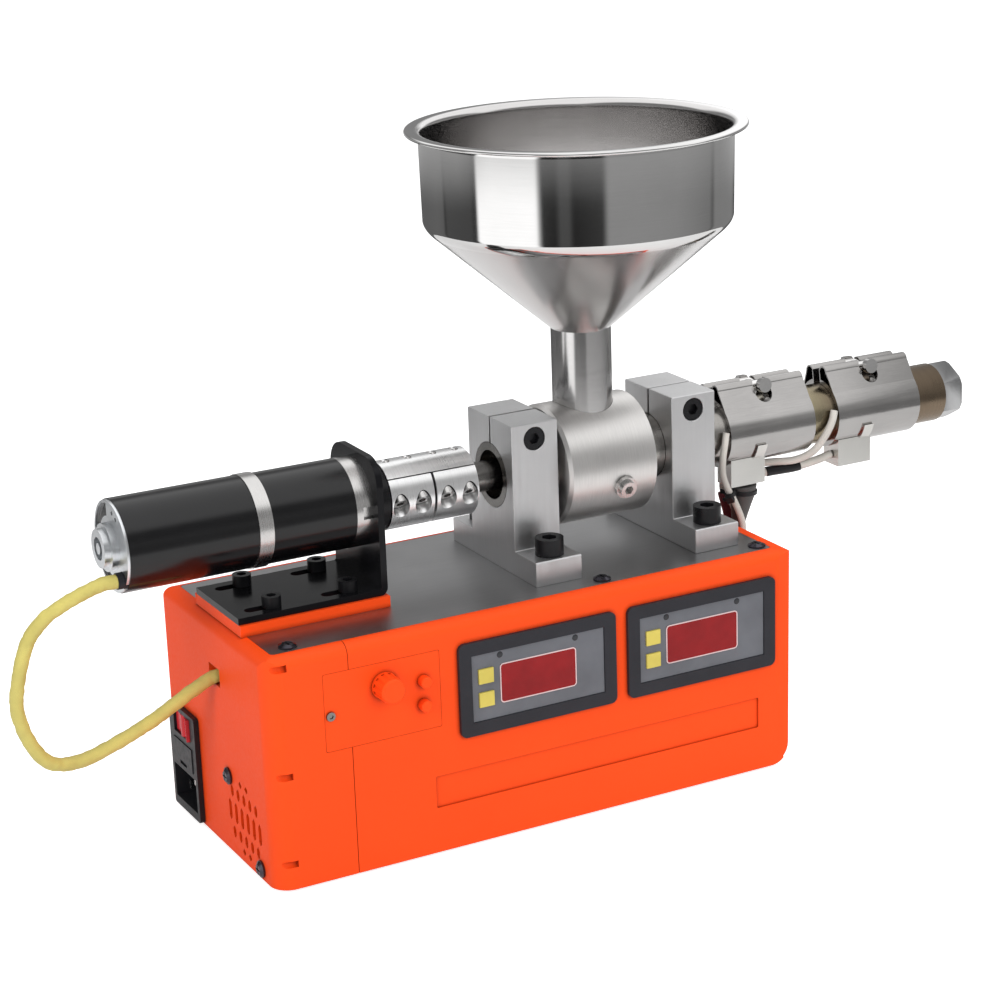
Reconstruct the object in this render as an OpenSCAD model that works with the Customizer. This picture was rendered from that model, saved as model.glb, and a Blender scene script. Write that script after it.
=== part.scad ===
// Bench-top filament extruder: a gear motor turns a screw in a heated barrel,
// all of it bolted to the deck of a printed control box with a hopper above.
// X runs along the screw towards the nozzle, Y across the box (the front is -Y), Z up.
// The origin is on the ground, under the middle of the machine.

/* [Control box] */
// Length of the box along the screw
box_l = 263.5; // [258:0.5:285]
// Width of the box across the screw
box_w = 116.2; // [113:0.2:130]
// Height of the box without its feet
box_h = 106.2; // [106:0.2:125]
// Width of the rim round the deck plate
rim_w = 6; // [5.5:0.5:7]
// Radius of the box's upright corners
corner_r = 9; // [7:0.5:9.5]
// Rounding of the box's top edges
edge_r = 5.5; // [4:0.5:5.5]
// Thickness of the deck plate
deck_t = 4; // [3:0.5:6]
// Height of the rubber feet
foot_h = 1.5; // [1:0.5:3]
// Where the two halves of the box meet, from its left face
seam_u = 38.3; // [32:0.1:48]

/* [Front controls] */
// Width of one panel meter's bezel
meter_w = 79; // [77:0.5:79]
// Height of one panel meter's bezel
meter_h = 43.5; // [42:0.5:46]
// How far a meter's bezel stands out of the box
meter_proud = 1.8; // [1.2:0.2:3]
// Radius of the speed knob
knob_r = 6.2; // [5.5:0.1:8.5]
// Height of the speed knob
knob_h = 9.7; // [8:0.1:16]
// Radius of a push button
button_r = 2.7; // [2:0.1:3.2]
// How far a push button stands out
button_proud = 4.5; // [3.5:0.5:6]

/* [Power inlet] */
// Width of the inlet's flange
inlet_w = 31; // [29:0.5:31]
// Height of the inlet's flange
inlet_h = 51; // [50.5:0.1:51.5]

/* [Gear motor] */
// Radius of the motor can
can_r = 20.5; // [19:0.5:21]
// Length of the motor can with its end cap
can_l = 59.6; // [50:0.2:75]
// Radius of the gearbox
gear_r = 20.2; // [19:0.1:21]
// Length of the gearbox's black case
gear_l = 39.4; // [30:0.2:46]
// Radius of the output shaft
drive_r = 4; // [3:0.5:5]

/* [Screw line] */
// Height of the screw's axis over the deck
axis_h = 42.6; // [41:0.2:46]
// Length of the shaft coupling
coupling_l = 43; // [42:0.5:46]
// Radius of the shaft coupling
coupling_r = 15.6; // [15:0.1:16.5]
// Radius of the screw's shank
shank_r = 7; // [6:0.5:7]
// Radius of the barrel's bore
bore_r = 8; // [7.5:0.1:8.4]
// Outer radius of the barrel in its clamp blocks
barrel_r = 15; // [14.6:0.1:15.4]
// Outer radius of the barrel's heated end
hot_r = 14.3; // [13.8:0.1:14.5]
// Length of the heated end past the second block
hot_l = 139.2; // [136:0.2:150]

/* [Clamp blocks] */
// Length of a block along the screw
block_l = 23.4; // [22:0.2:25]
// Width of a block's foot
block_w = 80.7; // [79:0.1:86]
// Width of a block's post
post_w = 41.7; // [41:0.1:46]
// Height of a block
block_h = 70; // [69:0.5:76]
// Thickness of a block's foot
block_foot = 11.4; // [10:0.2:13]
// Distance between the two blocks
block_gap = 60.4; // [58:0.2:64]

/* [Hopper and feed] */
// Outer radius of the feed housing
feed_r = 28.2; // [27:0.2:30]
// Length of the feed housing
feed_l = 45.2; // [43:0.2:48]
// Outer radius of the hopper's neck
neck_r = 13.8; // [12:0.2:14]
// Outer radius of the hopper's wall
hopper_r = 70.2; // [60:0.2:76]
// Thickness of the hopper's sheet
sheet_t = 1.2; // [1:0.1:2]
// Height of the hopper's rim over the deck
rim_h = 197.4; // [186:0.2:210]

/* [Heater bands] */
// Length of a heater band
band_l = 48; // [44:0.5:50]
// Outer radius of a heater band
band_r = 16.6; // [16.4:0.1:18]
// Size of the nozzle cap's hexagon across its flats
cap_af = 25.2; // [24:0.2:27]
// Thickness of the nozzle cap
cap_t = 11.1; // [7:0.1:12]

/* [Hidden] */
$fn = 64;

// Clearance between two fixed pieces, round a running shaft, and through a thick joint
fit = 0.15;
run = 0.08;
seam = 0.3;
eps = 0.01;

function sum(v) = v * [for (x = v) 1];

// Levels
deck_z = foot_h + box_h;
axis_z = deck_z + axis_h;
front_y = -box_w / 2;

// Stations along the screw, from the box's left face. The deck left free before the riser,
// between coupling and blocks, and after the blocks grows and shrinks with the box.
boss_l = 7.9;
riser_l = 71;
deck_free = [3.5, 14.2, 16.4];
deck_spread = (box_l - riser_l - boss_l - seam - coupling_l - 2 * block_l - block_gap) / sum(deck_free);
riser_u = deck_free[0] * deck_spread;
riser_w = 52;
riser_t = 5;
bracket_t = 3;
bracket_w = 48;
bracket_h = 66.3;
face_u = riser_u + riser_l - bracket_t;
ring_fat = 8;
ring_thin = 6.6;
case_u = face_u - ring_fat - gear_l;
can_end_u = case_u - ring_thin;
can_u = can_end_u - can_l;
end_cap_t = 1.2;
tail_l = 5.7;
tail_u = can_u - tail_l;
boss_r = 15;
coupling_u = face_u + bracket_t + boss_l + seam;
coupling_end = coupling_u + coupling_l;
block_1_u = coupling_end + deck_free[1] * deck_spread;
block_2_u = block_1_u + block_l + block_gap;
feed_u = block_1_u + block_l + 2.5;
hopper_u = feed_u + 22.8;
feed_screw_u = feed_u + 28.5;
feed_screw_turn = 16.5;
hot_u = block_2_u + block_l;
barrel_end = hot_u + hot_l;
flight_u = feed_u + 2;
flight_end = barrel_end - 8;
flight_pitch = 16;
flight_gap = 0.2;
band_1_u = hot_u + 12;
band_2_u = band_1_u + band_l + 13.6;
cap_end = barrel_end + cap_t;
x0 = -(tail_u + cap_end) / 2;

// Front face: the panel and the meters, with heights measured down from the deck. The room
// left free beside and between them grows and shrinks with the box.
panel_w = 55.3;
front_free = [26.1, 8.5, 6.35, 9.25];
front_spread = (box_l - panel_w - 2 * meter_w) / sum(front_free);
panel_u = front_free[0] * front_spread;
panel_top = 11.3;
panel_h = 35.6;
panel_t = 2.5;
knob_at = panel_u + 28.6;
knob_down = 22;
buttons_at = [[panel_u + 46.9, 23.7], [panel_u + 46.6, 34.6]];
panel_screw_at = [panel_u + 2.8, 30.6];
knob_shaft_r = 3;
meter_1_u = panel_u + panel_w + front_free[1] * front_spread;
meters_u = [meter_1_u, meter_1_u + meter_w + front_free[2] * front_spread];
meter_top = 11.1;
meter_depth = 22;
window_at = [6.6, 6.4];
window_size = [66.8, 31.2];
window_depth = 1.6;
display_at = [21, 13.2];
display_size = [37.5, 17.6];
key_size = [7.2, 6.7];
keys_at = [[9.9, 13.4], [9.9, 24.3]];
label_at = [meter_1_u - 12.7, meter_top + meter_h + 15.4];
label_size = [2 * meter_w + 10.8, 15];
label_depth = 0.8;

// Left face: inlet, fan and cable hole
inlet_y = 40;
inlet_at = [inlet_y, 26.4 - box_h];
inlet_depth = 28;
socket_at = [0, -13.1];
socket_size = [26, 16.5];
inlet_body_size = [28, 48.4];
drawer_at = [0, 3.4];
drawer_size = [22, 12];
drawer_depth = 16;
rocker_at = [0, 17.8];
rocker_size = [19, 11];
rocker_tilt = 8;
fan_at = [-24.9, 20.9 - box_h];
fan_pitch = 32;
// Rows of the fan's slots: height over its middle, length, number of slots
fan_rows = [[-16, 3.6, 2], [-9.9, 6, 5], [0, 10.4, 6], [9.9, 6, 5], [16, 3.6, 2]];
slot_pitch = 6.6;
slot_w = 3.2;
fan_wall = 3;
// Screw recesses that run out of the corner, measured down from the deck
corner_pits = [5, 54, 94.4];
pit_r = 1.6;
cable_hole_at = [0, -24.7];
cable_hole_size = [12, 8.4];

// Right face: hole of the heater leads
lead_hole_at = [-4, -22];
lead_hole_size = [18, 8];

// Screws and bolts
deck_screw_u = [16, block_1_u + block_l + 6.7, box_l - 10.5];
deck_screw_y = box_w / 2 - 11.6;
// Three along the front, two along the back
deck_screws = [
    for (u = deck_screw_u) [u, -deck_screw_y],
    for (i = [1, 2]) [deck_screw_u[i], deck_screw_y]
];
block_bolt_y = 31.8;
bracket_bolt_u = [riser_u + 18.8, riser_u + 55.1];
bracket_bolt_y = 16.5;
slot_run = 10;
clamp_screw_h = block_h - 7.4;
slit = 1.4;
edge_break = 0.5;

// Folded ears of a heater band: place and radius of a fold, thickness of the outer sheet
band_turn = -8.5;
ear_x = 5.4;
ear_y = 20;
ear_r = 3;
ear_gap = ear_x - ear_r + 0.2;
band_sheet = 0.7;
notch_drop = 3.4;
// Pin in each fold for the clamp screw
pin_l = 20;
// Terminal box under a band: its size, and its place from the band's left end and the axis
terminal = [19, 12, 13.6];
terminal_at = [2.7, -25];
// Latch tab of the terminal box: its place from the box's left end, its width and thickness,
// and its stretch up the band's side
tab_u = 12;
tab_size = [5.4, 1];
tab_reach = [-14, -7.4];

// Hopper, with heights over the deck: foot of its cone, foot of its wall, and its wall's top
cone_h = rim_h - 92.4;
knee_h = rim_h - 44.3;
lip_h = rim_h - 2.6;
cone_r = hopper_r - 4;
// Rim: width of its flat, and radius of the bead round its edge
flare = 5.65;
bead_r = 0.85;

// Coupling
coupling_turn = -41.3;
coupling_bolt_x = 10;
coupling_bolt_u = [4.4, 15.3, coupling_l - 15.3, coupling_l - 4.4];
split = 0.6;

// Routes of the cables, as steps from the piece that each end comes out of
cable_r = 3;
gland_at = [can_u - 3, -12, axis_h - 11.6];
cable_hole = [0, cable_hole_at[0], cable_hole_at[1] - 0.8];
cable_from_gland = [
    [0, 0, 0], [-3, 0, 0], [-6, 0, 0], [-12, 0, -1.5], [-22, 0, -5], [-32, 1, -10.5], [-40, 2, -20],
    [-45, 3, -36], [-46, 5, -51]
];
cable_to_hole = [
    [-86, -6, -11], [-78, -5, -21], [-66, -3, -24], [-51, -2, -21], [-31, -1, -14], [-12, 0, -5],
    [0, 0, 0], [8, 0, 0]
];
lead_r = 2;
inner_box = [band_1_u + 13, -terminal[1] / 2, axis_h + terminal_at[1] - 0.1];
outer_box = [band_2_u + terminal_at[0] - 0.4, -terminal[1] / 2, axis_h - 20];
inner_rim = [band_1_u, 0, axis_h];
outer_rim = [band_2_u, 0, axis_h];
lead_hole = [box_l, lead_hole_at[0], lead_hole_at[1]];
inner_from_box = [[0, 0, 0], [0, 0, -5], [-1, 0, -10.5]];
inner_to_hole = [[6, -2.4, 20], [5.6, -2.4, 8], [0, -2.4, 0], [-8, -2.4, 0]];
outer_from_box = [
    [0, 0, 0], [-8, 0, -1.6], [-19.5, 2, -3.5], [-34.5, 6.6, -5], [-45.5, 8.4, -7.5], [-52.5, 7.8, -13]
];
outer_to_hole = [[9, 2.2, 19], [7, 2.2, 7], [0, 2.2, 0], [-8, 2.2, 0]];
sensor_r = 1.6;
sleeve_r = 1.8;
inner_from_rim = [
    [-2.4, -15.8, 4], [-3.8, -16.6, -1.5], [-4.3, -15.6, -9], [-3, -13.6, -17], [0.3, -12.2, -24.5],
    [5, -10.8, -32], [9, -10.6, -41]
];
inner_rim_to_hole = [[5.6, -6.6, 18], [5.2, -6.6, 8], [0, -6.6, 0], [-8, -6.6, 0]];
outer_from_rim = [
    [-2.5, -15.8, 5], [-4.5, -16.8, 0], [-8, -15.9, -7], [-12.5, -12.6, -14.5], [-19, -7, -19],
    [-28, -1, -20], [-38, 4.7, -20.8], [-47, 8.2, -22.4], [-51, 7.6, -30]
];
outer_rim_to_hole = [[7, 7.2, 20], [6.6, 6.8, 8], [0, 6.6, 0], [-8, 6.6, 0]];

// ---------- shared forms ----------

// Frame of a cross-section at a station: drawn as [y, z], extruded along the screw
module station(u, z = axis_z) {
    translate([x0 + u, 0, z]) rotate([90, 0, 90]) children();
}

// Frame on the front face: drawn as [along, up] from the deck, extruded outwards
module on_front(u, down) {
    translate([x0 + u, front_y, deck_z - down]) rotate([90, 0, 0]) children();
}

// Frame on the left face: drawn as [towards the front, up], extruded outwards
module on_left(y, dz) {
    translate([x0, y, deck_z + dz]) rotate([90, 0, -90]) children();
}

// Rectangle with round corners, about its middle
module round_rect(l, w, r) {
    square([l - 2 * r, w], center = true);
    square([l, w - 2 * r], center = true);
    for (sx = [-1, 1], sy = [-1, 1])
        translate([sx * (l / 2 - r), sy * (w / 2 - r)]) circle(r);
}

// Upright outline with round top corners, standing on the middle of its base
module arch(w, h, r) {
    translate([-w / 2, 0]) square([w, h - r]);
    translate([-w / 2 + r, 0]) square([w - 2 * r, h]);
    for (s = [-1, 1])
        translate([s * (w / 2 - r), h - r]) circle(r);
}

// Tube along the screw's axis
module tube(l, r_out, r_in) {
    difference() {
        cylinder(h = l, r = r_out);
        translate([0, 0, -eps]) cylinder(h = l + 2 * eps, r = r_in);
    }
}

// Socket-head screw standing on z = 0, its shank below
module cap_screw(head_r, head_h, shank_r, shank_l) {
    difference() {
        cylinder(h = head_h, r = head_r);
        translate([0, 0, head_h * 0.45]) cylinder(h = head_h, r = head_r * 0.55, $fn = 6);
    }
    translate([0, 0, -shank_l]) cylinder(h = shank_l, r = shank_r);
}

// Low round-headed screw standing on z = 0, its shank below
module pan_screw(head_r, head_h, shank_r, shank_l) {
    difference() {
        union() {
            cylinder(h = head_h * 0.45, r = head_r);
            translate([0, 0, head_h * 0.45])
                cylinder(h = head_h * 0.55, r1 = head_r * 0.96, r2 = head_r * 0.6);
        }
        translate([0, 0, head_h * 0.4]) {
            cube([head_r * 1.1, 0.7, head_h * 2], center = true);
            cube([0.7, head_r * 1.1, head_h * 2], center = true);
        }
    }
    translate([0, 0, -shank_l]) cylinder(h = shank_l, r = shank_r);
}

// ---------- free cables ----------

function unit(v) = v / norm(v);

// Point on a smooth curve through p, between p[i] and p[i + 1]
function on_curve(p, i, t) = let (
    a = p[max(i - 1, 0)], b = p[i], c = p[i + 1], d = p[min(i + 2, len(p) - 1)]
) 0.5 * (2 * b + (c - a) * t + (2 * a - 5 * b + 4 * c - d) * t * t + (3 * b - a - 3 * c + d) * t * t * t);

function curve(p, steps) = [
    for (i = [0:len(p) - 2]) for (k = [0:steps - 1]) on_curve(p, i, k / steps), p[len(p) - 1]
];

// Round cable through the points of route, given as [station, y, height over the deck]
module cable(route, r, sides, steps) {
    path = curve([for (p = route) [x0 + p[0], p[1], deck_z + p[2]]], steps);
    last = len(path) - 1;
    points = [
        for (i = [0:last]) let (
            t = unit(path[min(i + 1, last)] - path[max(i - 1, 0)]),
            a = unit(cross([0, 1, 0], t)), b = cross(t, a)
        ) for (j = [0:sides - 1]) path[i] + r * (cos(360 * j / sides) * a + sin(360 * j / sides) * b)
    ];
    walls = [
        for (i = [0:last - 1]) for (j = [0:sides - 1]) let (k = (j + 1) % sides)
            [i * sides + j, (i + 1) * sides + j, (i + 1) * sides + k, i * sides + k]
    ];
    near = [for (j = [0:sides - 1]) j];
    far = [for (j = [sides - 1:-1:0]) last * sides + j];
    polyhedron(points, concat(walls, [near, far]), convexity = 6);
}

// ---------- control box ----------

// Whole outline of the box, round at its corners and top edges
module box_form() {
    intersection() {
        translate([x0 + box_l / 2, 0, foot_h]) linear_extrude(box_h) {
            round_rect(box_l, box_w, corner_r);
            // Square corner beside the inlet
            translate([-box_l / 2, box_w / 2 - corner_r - 1]) square([corner_r + 1, corner_r + 1]);
        }
        station(0, foot_h) linear_extrude(box_l) arch(box_w, box_h, edge_r);
        translate([x0 + box_l / 2, box_w / 2, foot_h]) rotate([90, 0, 0])
            linear_extrude(box_w) arch(box_l, box_h, edge_r);
    }
}

// Window of the front face, from its top left corner
module front_cut(u, down, size, depth, r = 0.8) {
    on_front(u + size[0] / 2, down + size[1] / 2) translate([0, 0, -depth])
        linear_extrude(depth + 1) round_rect(size[0], size[1], r);
}

// Upright slot with pointed ends, about its middle
module pointed_slot(w, l) {
    h = l / 2;
    polygon([
        [0, -h], [w / 2, w / 2 - h], [w / 2, h - w / 2],
        [0, h], [-w / 2, h - w / 2], [-w / 2, w / 2 - h]
    ]);
}

module box_cuts() {
    // Seat of the deck plate and its screws
    translate([x0 + box_l / 2, 0, deck_z - deck_t])
        linear_extrude(deck_t + 1) round_rect(box_l - 2 * rim_w, box_w - 2 * rim_w, 2);
    for (p = deck_screws)
        translate([x0 + p[0], p[1], deck_z - 12]) cylinder(h = 12, r = 1.75);
    // Controls, with room behind them
    front_cut(panel_u, panel_top, [panel_w, panel_h], panel_t);
    front_cut(panel_u + 8, panel_top + 3, [panel_w - 11, panel_h - 6], panel_t + 11);
    on_front(panel_screw_at[0], panel_screw_at[1]) translate([0, 0, -9]) cylinder(h = 9, r = 1.15);
    for (u = meters_u)
        front_cut(u + 2, meter_top + 2, [meter_w - 4, meter_h - 4], meter_depth + 1, 0.3);
    front_cut(label_at[0], label_at[1], label_size, label_depth);
    // Power inlet
    on_left(inlet_at[0], inlet_at[1]) translate([0, 0, -inlet_depth - 3])
        linear_extrude(inlet_depth + 4) square(inlet_body_size + 2 * [fit, fit], center = true);
    // Fan: rows of pointed slots in front of a round duct, and its screws
    on_left(fan_at[0], fan_at[1]) {
        for (row = fan_rows, i = [0:row[2] - 1])
            translate([(i - (row[2] - 1) / 2) * slot_pitch, row[0], -fan_wall - 1])
                linear_extrude(fan_wall + 2) pointed_slot(slot_w, row[1]);
        translate([0, 0, -12]) cylinder(h = 12 - fan_wall, r = 19);
        for (s = [-1, 1])
            translate([-s * fan_pitch / 2, s * fan_pitch / 2, -8]) cylinder(h = 9, r = 1.3);
    }
    for (down = corner_pits)
        translate([x0 - 1, front_y + 0.6, deck_z - down])
            rotate([0, 90, 0]) cylinder(h = corner_r + 2.3, r = pit_r);
    on_left(cable_hole_at[0], cable_hole_at[1]) translate([0, 0, -14])
        linear_extrude(15) square(cable_hole_size, center = true);
    // Hole of the heater leads
    translate([x0 + box_l - 14, lead_hole_at[0] - lead_hole_size[0] / 2,
               deck_z + lead_hole_at[1] - lead_hole_size[1] / 2])
        cube([15, lead_hole_size[0], lead_hole_size[1]]);
}

module housing_left() {
    color("orangered") difference() {
        intersection() {
            box_form();
            translate([x0 - 1, -box_w, 0]) cube([seam_u - seam / 2 + 1, 2 * box_w, deck_z + 1]);
        }
        box_cuts();
    }
}

module housing_right() {
    color("orangered") difference() {
        intersection() {
            box_form();
            translate([x0 + seam_u + seam / 2, -box_w, 0]) cube([box_l, 2 * box_w, deck_z + 1]);
        }
        box_cuts();
    }
}

module rubber_feet() {
    color("black") for (u = [14, box_l - 14], s = [-1, 1])
        translate([x0 + u, s * (box_w / 2 - 14), 0]) cylinder(h = foot_h, r = 7);
}

module deck_plate() {
    color("dimgray") difference() {
        translate([x0 + box_l / 2, 0, deck_z - deck_t]) linear_extrude(deck_t)
            round_rect(box_l - 2 * rim_w - 2 * fit, box_w - 2 * rim_w - 2 * fit, 2);
        translate([x0, 0, deck_z - deck_t - 1]) {
            for (p = deck_screws)
                translate([p[0], p[1], 0]) cylinder(h = deck_t + 2, r = 2.2);
            for (u = bracket_bolt_u, s = [-1, 1])
                translate([u, s * bracket_bolt_y, 0]) cylinder(h = deck_t + 2, r = 2.65);
            for (u = [block_1_u, block_2_u], s = [-1, 1])
                translate([u + block_l / 2, s * block_bolt_y, 0]) cylinder(h = deck_t + 2, r = 4.15);
        }
    }
}

module case_screws() {
    color("black") {
        for (p = deck_screws)
            translate([x0 + p[0], p[1], deck_z]) pan_screw(4.1, 1.6, 1.6, 11);
        on_left(fan_at[0], fan_at[1]) for (s = [-1, 1])
            translate([-s * fan_pitch / 2, s * fan_pitch / 2, 0]) pan_screw(3.9, 2, 1.15, 7);
    }
}

// ---------- front controls ----------

module control_panel() {
    color("orangered") difference() {
        on_front(panel_u + panel_w / 2, panel_top + panel_h / 2) translate([0, 0, -panel_t])
            linear_extrude(panel_t) round_rect(panel_w - 2 * fit, panel_h - 2 * fit, 0.8);
        on_front(knob_at, knob_down) cylinder(h = 20, r = knob_shaft_r + run, center = true);
        for (b = buttons_at)
            on_front(b[0], b[1]) cylinder(h = 20, r = button_r + run, center = true);
        on_front(panel_screw_at[0], panel_screw_at[1]) cylinder(h = 20, r = 1.15, center = true);
    }
}

module panel_screw() {
    color("goldenrod") on_front(panel_screw_at[0], panel_screw_at[1]) cap_screw(2, 0.9, 1, 8);
}

module speed_knob() {
    round_h = 0.8;
    color("orangered") on_front(knob_at, knob_down) {
        difference() {
            union() {
                translate([0, 0, seam]) cylinder(h = knob_h - round_h, r1 = knob_r, r2 = knob_r - 0.5);
                translate([0, 0, seam + knob_h - round_h])
                    cylinder(h = round_h, r1 = knob_r - 0.5, r2 = knob_r - 1.3);
            }
            // Grip flutes
            for (a = [15:30:345])
                rotate([0, 0, a]) translate([knob_r + 0.5, 0, seam + 1.6]) cylinder(h = knob_h, r = 1.1);
        }
        translate([0, 0, -9]) cylinder(h = 9 + seam + eps, r = knob_shaft_r);
    }
}

// Push button whose collar keeps it behind the panel
module button(place) {
    on_front(place[0], place[1]) {
        translate([0, 0, -panel_t - 5]) cylinder(h = panel_t + 4.5 + button_proud, r = button_r);
        translate([0, 0, button_proud - 0.5]) cylinder(h = 0.5, r1 = button_r, r2 = button_r - 0.5);
        translate([0, 0, -panel_t - 2 - run]) cylinder(h = 2, r = button_r + 0.8);
    }
}

module upper_button() {
    color("orangered") button(buttons_at[0]);
}

module lower_button() {
    color("orangered") button(buttons_at[1]);
}

module meter_bezels() {
    color("#3a3a40") for (u = meters_u) difference() {
        on_front(u + meter_w / 2, meter_top + meter_h / 2) {
            linear_extrude(meter_proud) round_rect(meter_w, meter_h, 3);
            translate([0, 0, -meter_depth])
                linear_extrude(meter_depth + eps)
                    square([meter_w - 4 - 2 * fit, meter_h - 4 - 2 * fit], center = true);
        }
        on_front(u + meter_w / 2, meter_top + meter_h / 2)
            translate([0, 0, meter_proud - window_depth])
            linear_extrude(5) square(window_size, center = true);
    }
}

// Pane of a meter's window: its corner at place, standing on the window's floor
module pane(u, place, size, t, slack) {
    on_front(u + place[0] + (meter_w - window_size[0]) / 2 - window_at[0],
             meter_top + place[1] + (meter_h - window_size[1]) / 2 - window_at[1])
        translate([slack, slack - size[1], meter_proud - window_depth])
        cube([size[0] - 2 * slack, size[1] - 2 * slack, t]);
}

module meter_faces() {
    color("gray") for (u = meters_u) difference() {
        pane(u, window_at, window_size, 1, fit);
        pane(u, display_at, display_size, 3, -fit);
        for (k = keys_at) pane(u, k, key_size, 3, -fit);
    }
}

module meter_displays() {
    color("firebrick") for (u = meters_u) pane(u, display_at, display_size, 1.2, 0);
}

module meter_keys() {
    color("khaki") for (u = meters_u, k = keys_at) pane(u, k, key_size, 1.9, 0);
}

// ---------- power inlet ----------

module inlet_body() {
    color("black") difference() {
        on_left(inlet_at[0], inlet_at[1]) {
            linear_extrude(2.5) round_rect(inlet_w, inlet_h, 1.5);
            translate([0, 0, -inlet_depth])
                linear_extrude(inlet_depth + eps) square(inlet_body_size, center = true);
        }
        on_left(inlet_at[0], inlet_at[1]) {
            translate([socket_at[0], socket_at[1], -16])
                linear_extrude(20) square(socket_size, center = true);
            translate([drawer_at[0], drawer_at[1], -drawer_depth])
                linear_extrude(20) square(drawer_size, center = true);
            translate([rocker_at[0], rocker_at[1], -9])
                linear_extrude(20) square([rocker_size[0] + 0.8, rocker_size[1]], center = true);
        }
    }
}

module inlet_pins() {
    color("silver") on_left(inlet_at[0], inlet_at[1])
        for (p = [[-7, -2], [0, 2], [7, -2]])
            translate([socket_at[0] + p[0] - 1, socket_at[1] + p[1] - 2, -16]) cube([2, 4, 14]);
}

// Drawer with a finger notch in its front and a tray, open at the top, behind it
module fuse_drawer() {
    w = drawer_size[0] - 2 * fit;
    h = drawer_size[1] - 2 * fit;
    color("#202024") on_left(inlet_at[0], inlet_at[1]) translate([drawer_at[0], drawer_at[1], 0])
        difference() {
            translate([0, 0, 0.5 - drawer_depth])
                linear_extrude(drawer_depth + 2.4) square([w, h], center = true);
            translate([0, 1 - h / 2, 2.6]) cube([8, 2.1, 1.8], center = true);
            translate([1.5 - w / 2, 1.5 - h / 2, 2 - drawer_depth]) cube([w - 3, h, drawer_depth - 3]);
        }
}

// Rocker with two sloping faces, tipped one way about its pivot
module rocker_switch() {
    half = rocker_size[0] / 2 - 0.4;
    color("red") on_left(inlet_at[0], inlet_at[1]) translate([rocker_at[0], rocker_at[1], -0.5])
        rotate([90, 0, 0]) rotate([0, 0, rocker_tilt]) {
            linear_extrude(rocker_size[1] - 0.4, center = true)
                polygon([[-half, -1], [-half, 3], [0, 1.8], [half, 3], [half, -1]]);
            // Round hub on the pivot
            cylinder(h = rocker_size[1] - 0.4, r = 3.2, center = true);
        }
}

// ---------- gear motor ----------

module motor_riser() {
    color("orangered") difference() {
        translate([x0 + riser_u, -riser_w / 2, deck_z]) cube([riser_l, riser_w, riser_t]);
        for (u = bracket_bolt_u, s = [-1, 1])
            translate([x0 + u, s * bracket_bolt_y, deck_z - 1]) cylinder(h = riser_t + 2, r = 2.65);
    }
}

module motor_bracket() {
    bend = 3.5;
    color("#18181a") difference() {
        intersection() {
            translate([x0 + riser_u, bracket_w / 2, deck_z + riser_t]) rotate([90, 0, 0])
                linear_extrude(bracket_w) {
                    square([riser_l - bend, bracket_t]);
                    translate([riser_l - bracket_t, bend]) square([bracket_t, bracket_h]);
                    intersection() {
                        translate([riser_l - bend, bend]) circle(bend);
                        translate([riser_l - bend, 0]) square(bend);
                    }
                }
            station(riser_u, deck_z + riser_t)
                linear_extrude(riser_l) arch(bracket_w, bracket_h - riser_t, 12);
        }
        station(face_u - 1) cylinder(h = bracket_t + 2, r = boss_r + fit);
        for (u = bracket_bolt_u, s = [-1, 1])
            translate([x0 + u, s * bracket_bolt_y, deck_z + riser_t - 1]) {
                cylinder(h = bracket_t + 2, r = 2.75);
                translate([-slot_run, 0, 0]) cylinder(h = bracket_t + 2, r = 2.75);
                translate([-slot_run, -2.75, 0]) cube([slot_run, 5.5, bracket_t + 2]);
            }
    }
}

module bracket_bolts() {
    color("#101010") for (u = bracket_bolt_u, s = [-1, 1])
        translate([x0 + u, s * bracket_bolt_y, deck_z + riser_t + bracket_t])
            cap_screw(4.25, 5, 2.5, bracket_t + riser_t + deck_t);
}

module motor_can() {
    color("#141414") station(can_u + end_cap_t) cylinder(h = can_l - end_cap_t, r = can_r);
}

module motor_end_cap() {
    rim_r = can_r - 0.4;
    color("silver") difference() {
        union() {
            station(can_u) cylinder(h = end_cap_t, r = rim_r);
            station(can_u - 3) cylinder(h = 3 + eps, r = 10.5);
            station(tail_u) cylinder(h = tail_l, r = 8.5);
        }
        station(tail_u - 1) difference() {
            cylinder(h = 5, r = 5);
            cylinder(h = 5, r = 2.5);
        }
        // Open windows behind the brushes
        station(can_u - 1) intersection() {
            tube(end_cap_t + 2, rim_r - 1.2, 13.2);
            union() {
                translate([2.5, 3.5, 0]) cube([can_r, can_r, end_cap_t + 2]);
                translate([1, -can_r, 0]) cube([can_r - 7, can_r - 11, end_cap_t + 2]);
            }
        }
        for (y = [-4.5, -8.5])
            station(can_u - 1) translate([y, sqrt(16.5 * 16.5 - y * y), 0]) cylinder(h = 4, r = 0.9);
        station(can_u - 1) translate([gland_at[1], gland_at[2] - axis_h, 0])
            cylinder(h = end_cap_t + 2, r = 3.75);
    }
}

module cable_gland() {
    color("black") station(gland_at[0]) translate([gland_at[1], gland_at[2] - axis_h, 0])
        cylinder(h = 3 + end_cap_t, r = 3.6);
}

module gearbox_rings() {
    color("silver") {
        station(can_end_u) cylinder(h = ring_thin, r = gear_r + 0.7);
        station(face_u - ring_fat) difference() {
            cylinder(h = ring_fat, r = gear_r + 0.1);
            // Square notch of the ring's key
            translate([-gear_r - 1, -2.8, ring_fat - 5]) cube([3, 5.6, 6]);
        }
    }
}

module gearbox_case() {
    color("#161616") station(case_u) cylinder(h = gear_l, r = gear_r);
}

module gearbox_boss() {
    color("#222222") station(face_u) tube(bracket_t + boss_l, boss_r, drive_r + run);
}

// ---------- coupling and screw ----------

module output_shaft() {
    color("silver") station(face_u + 1)
        cylinder(h = bracket_t + boss_l + seam + coupling_l / 2 - 2, r = drive_r);
}

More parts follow.
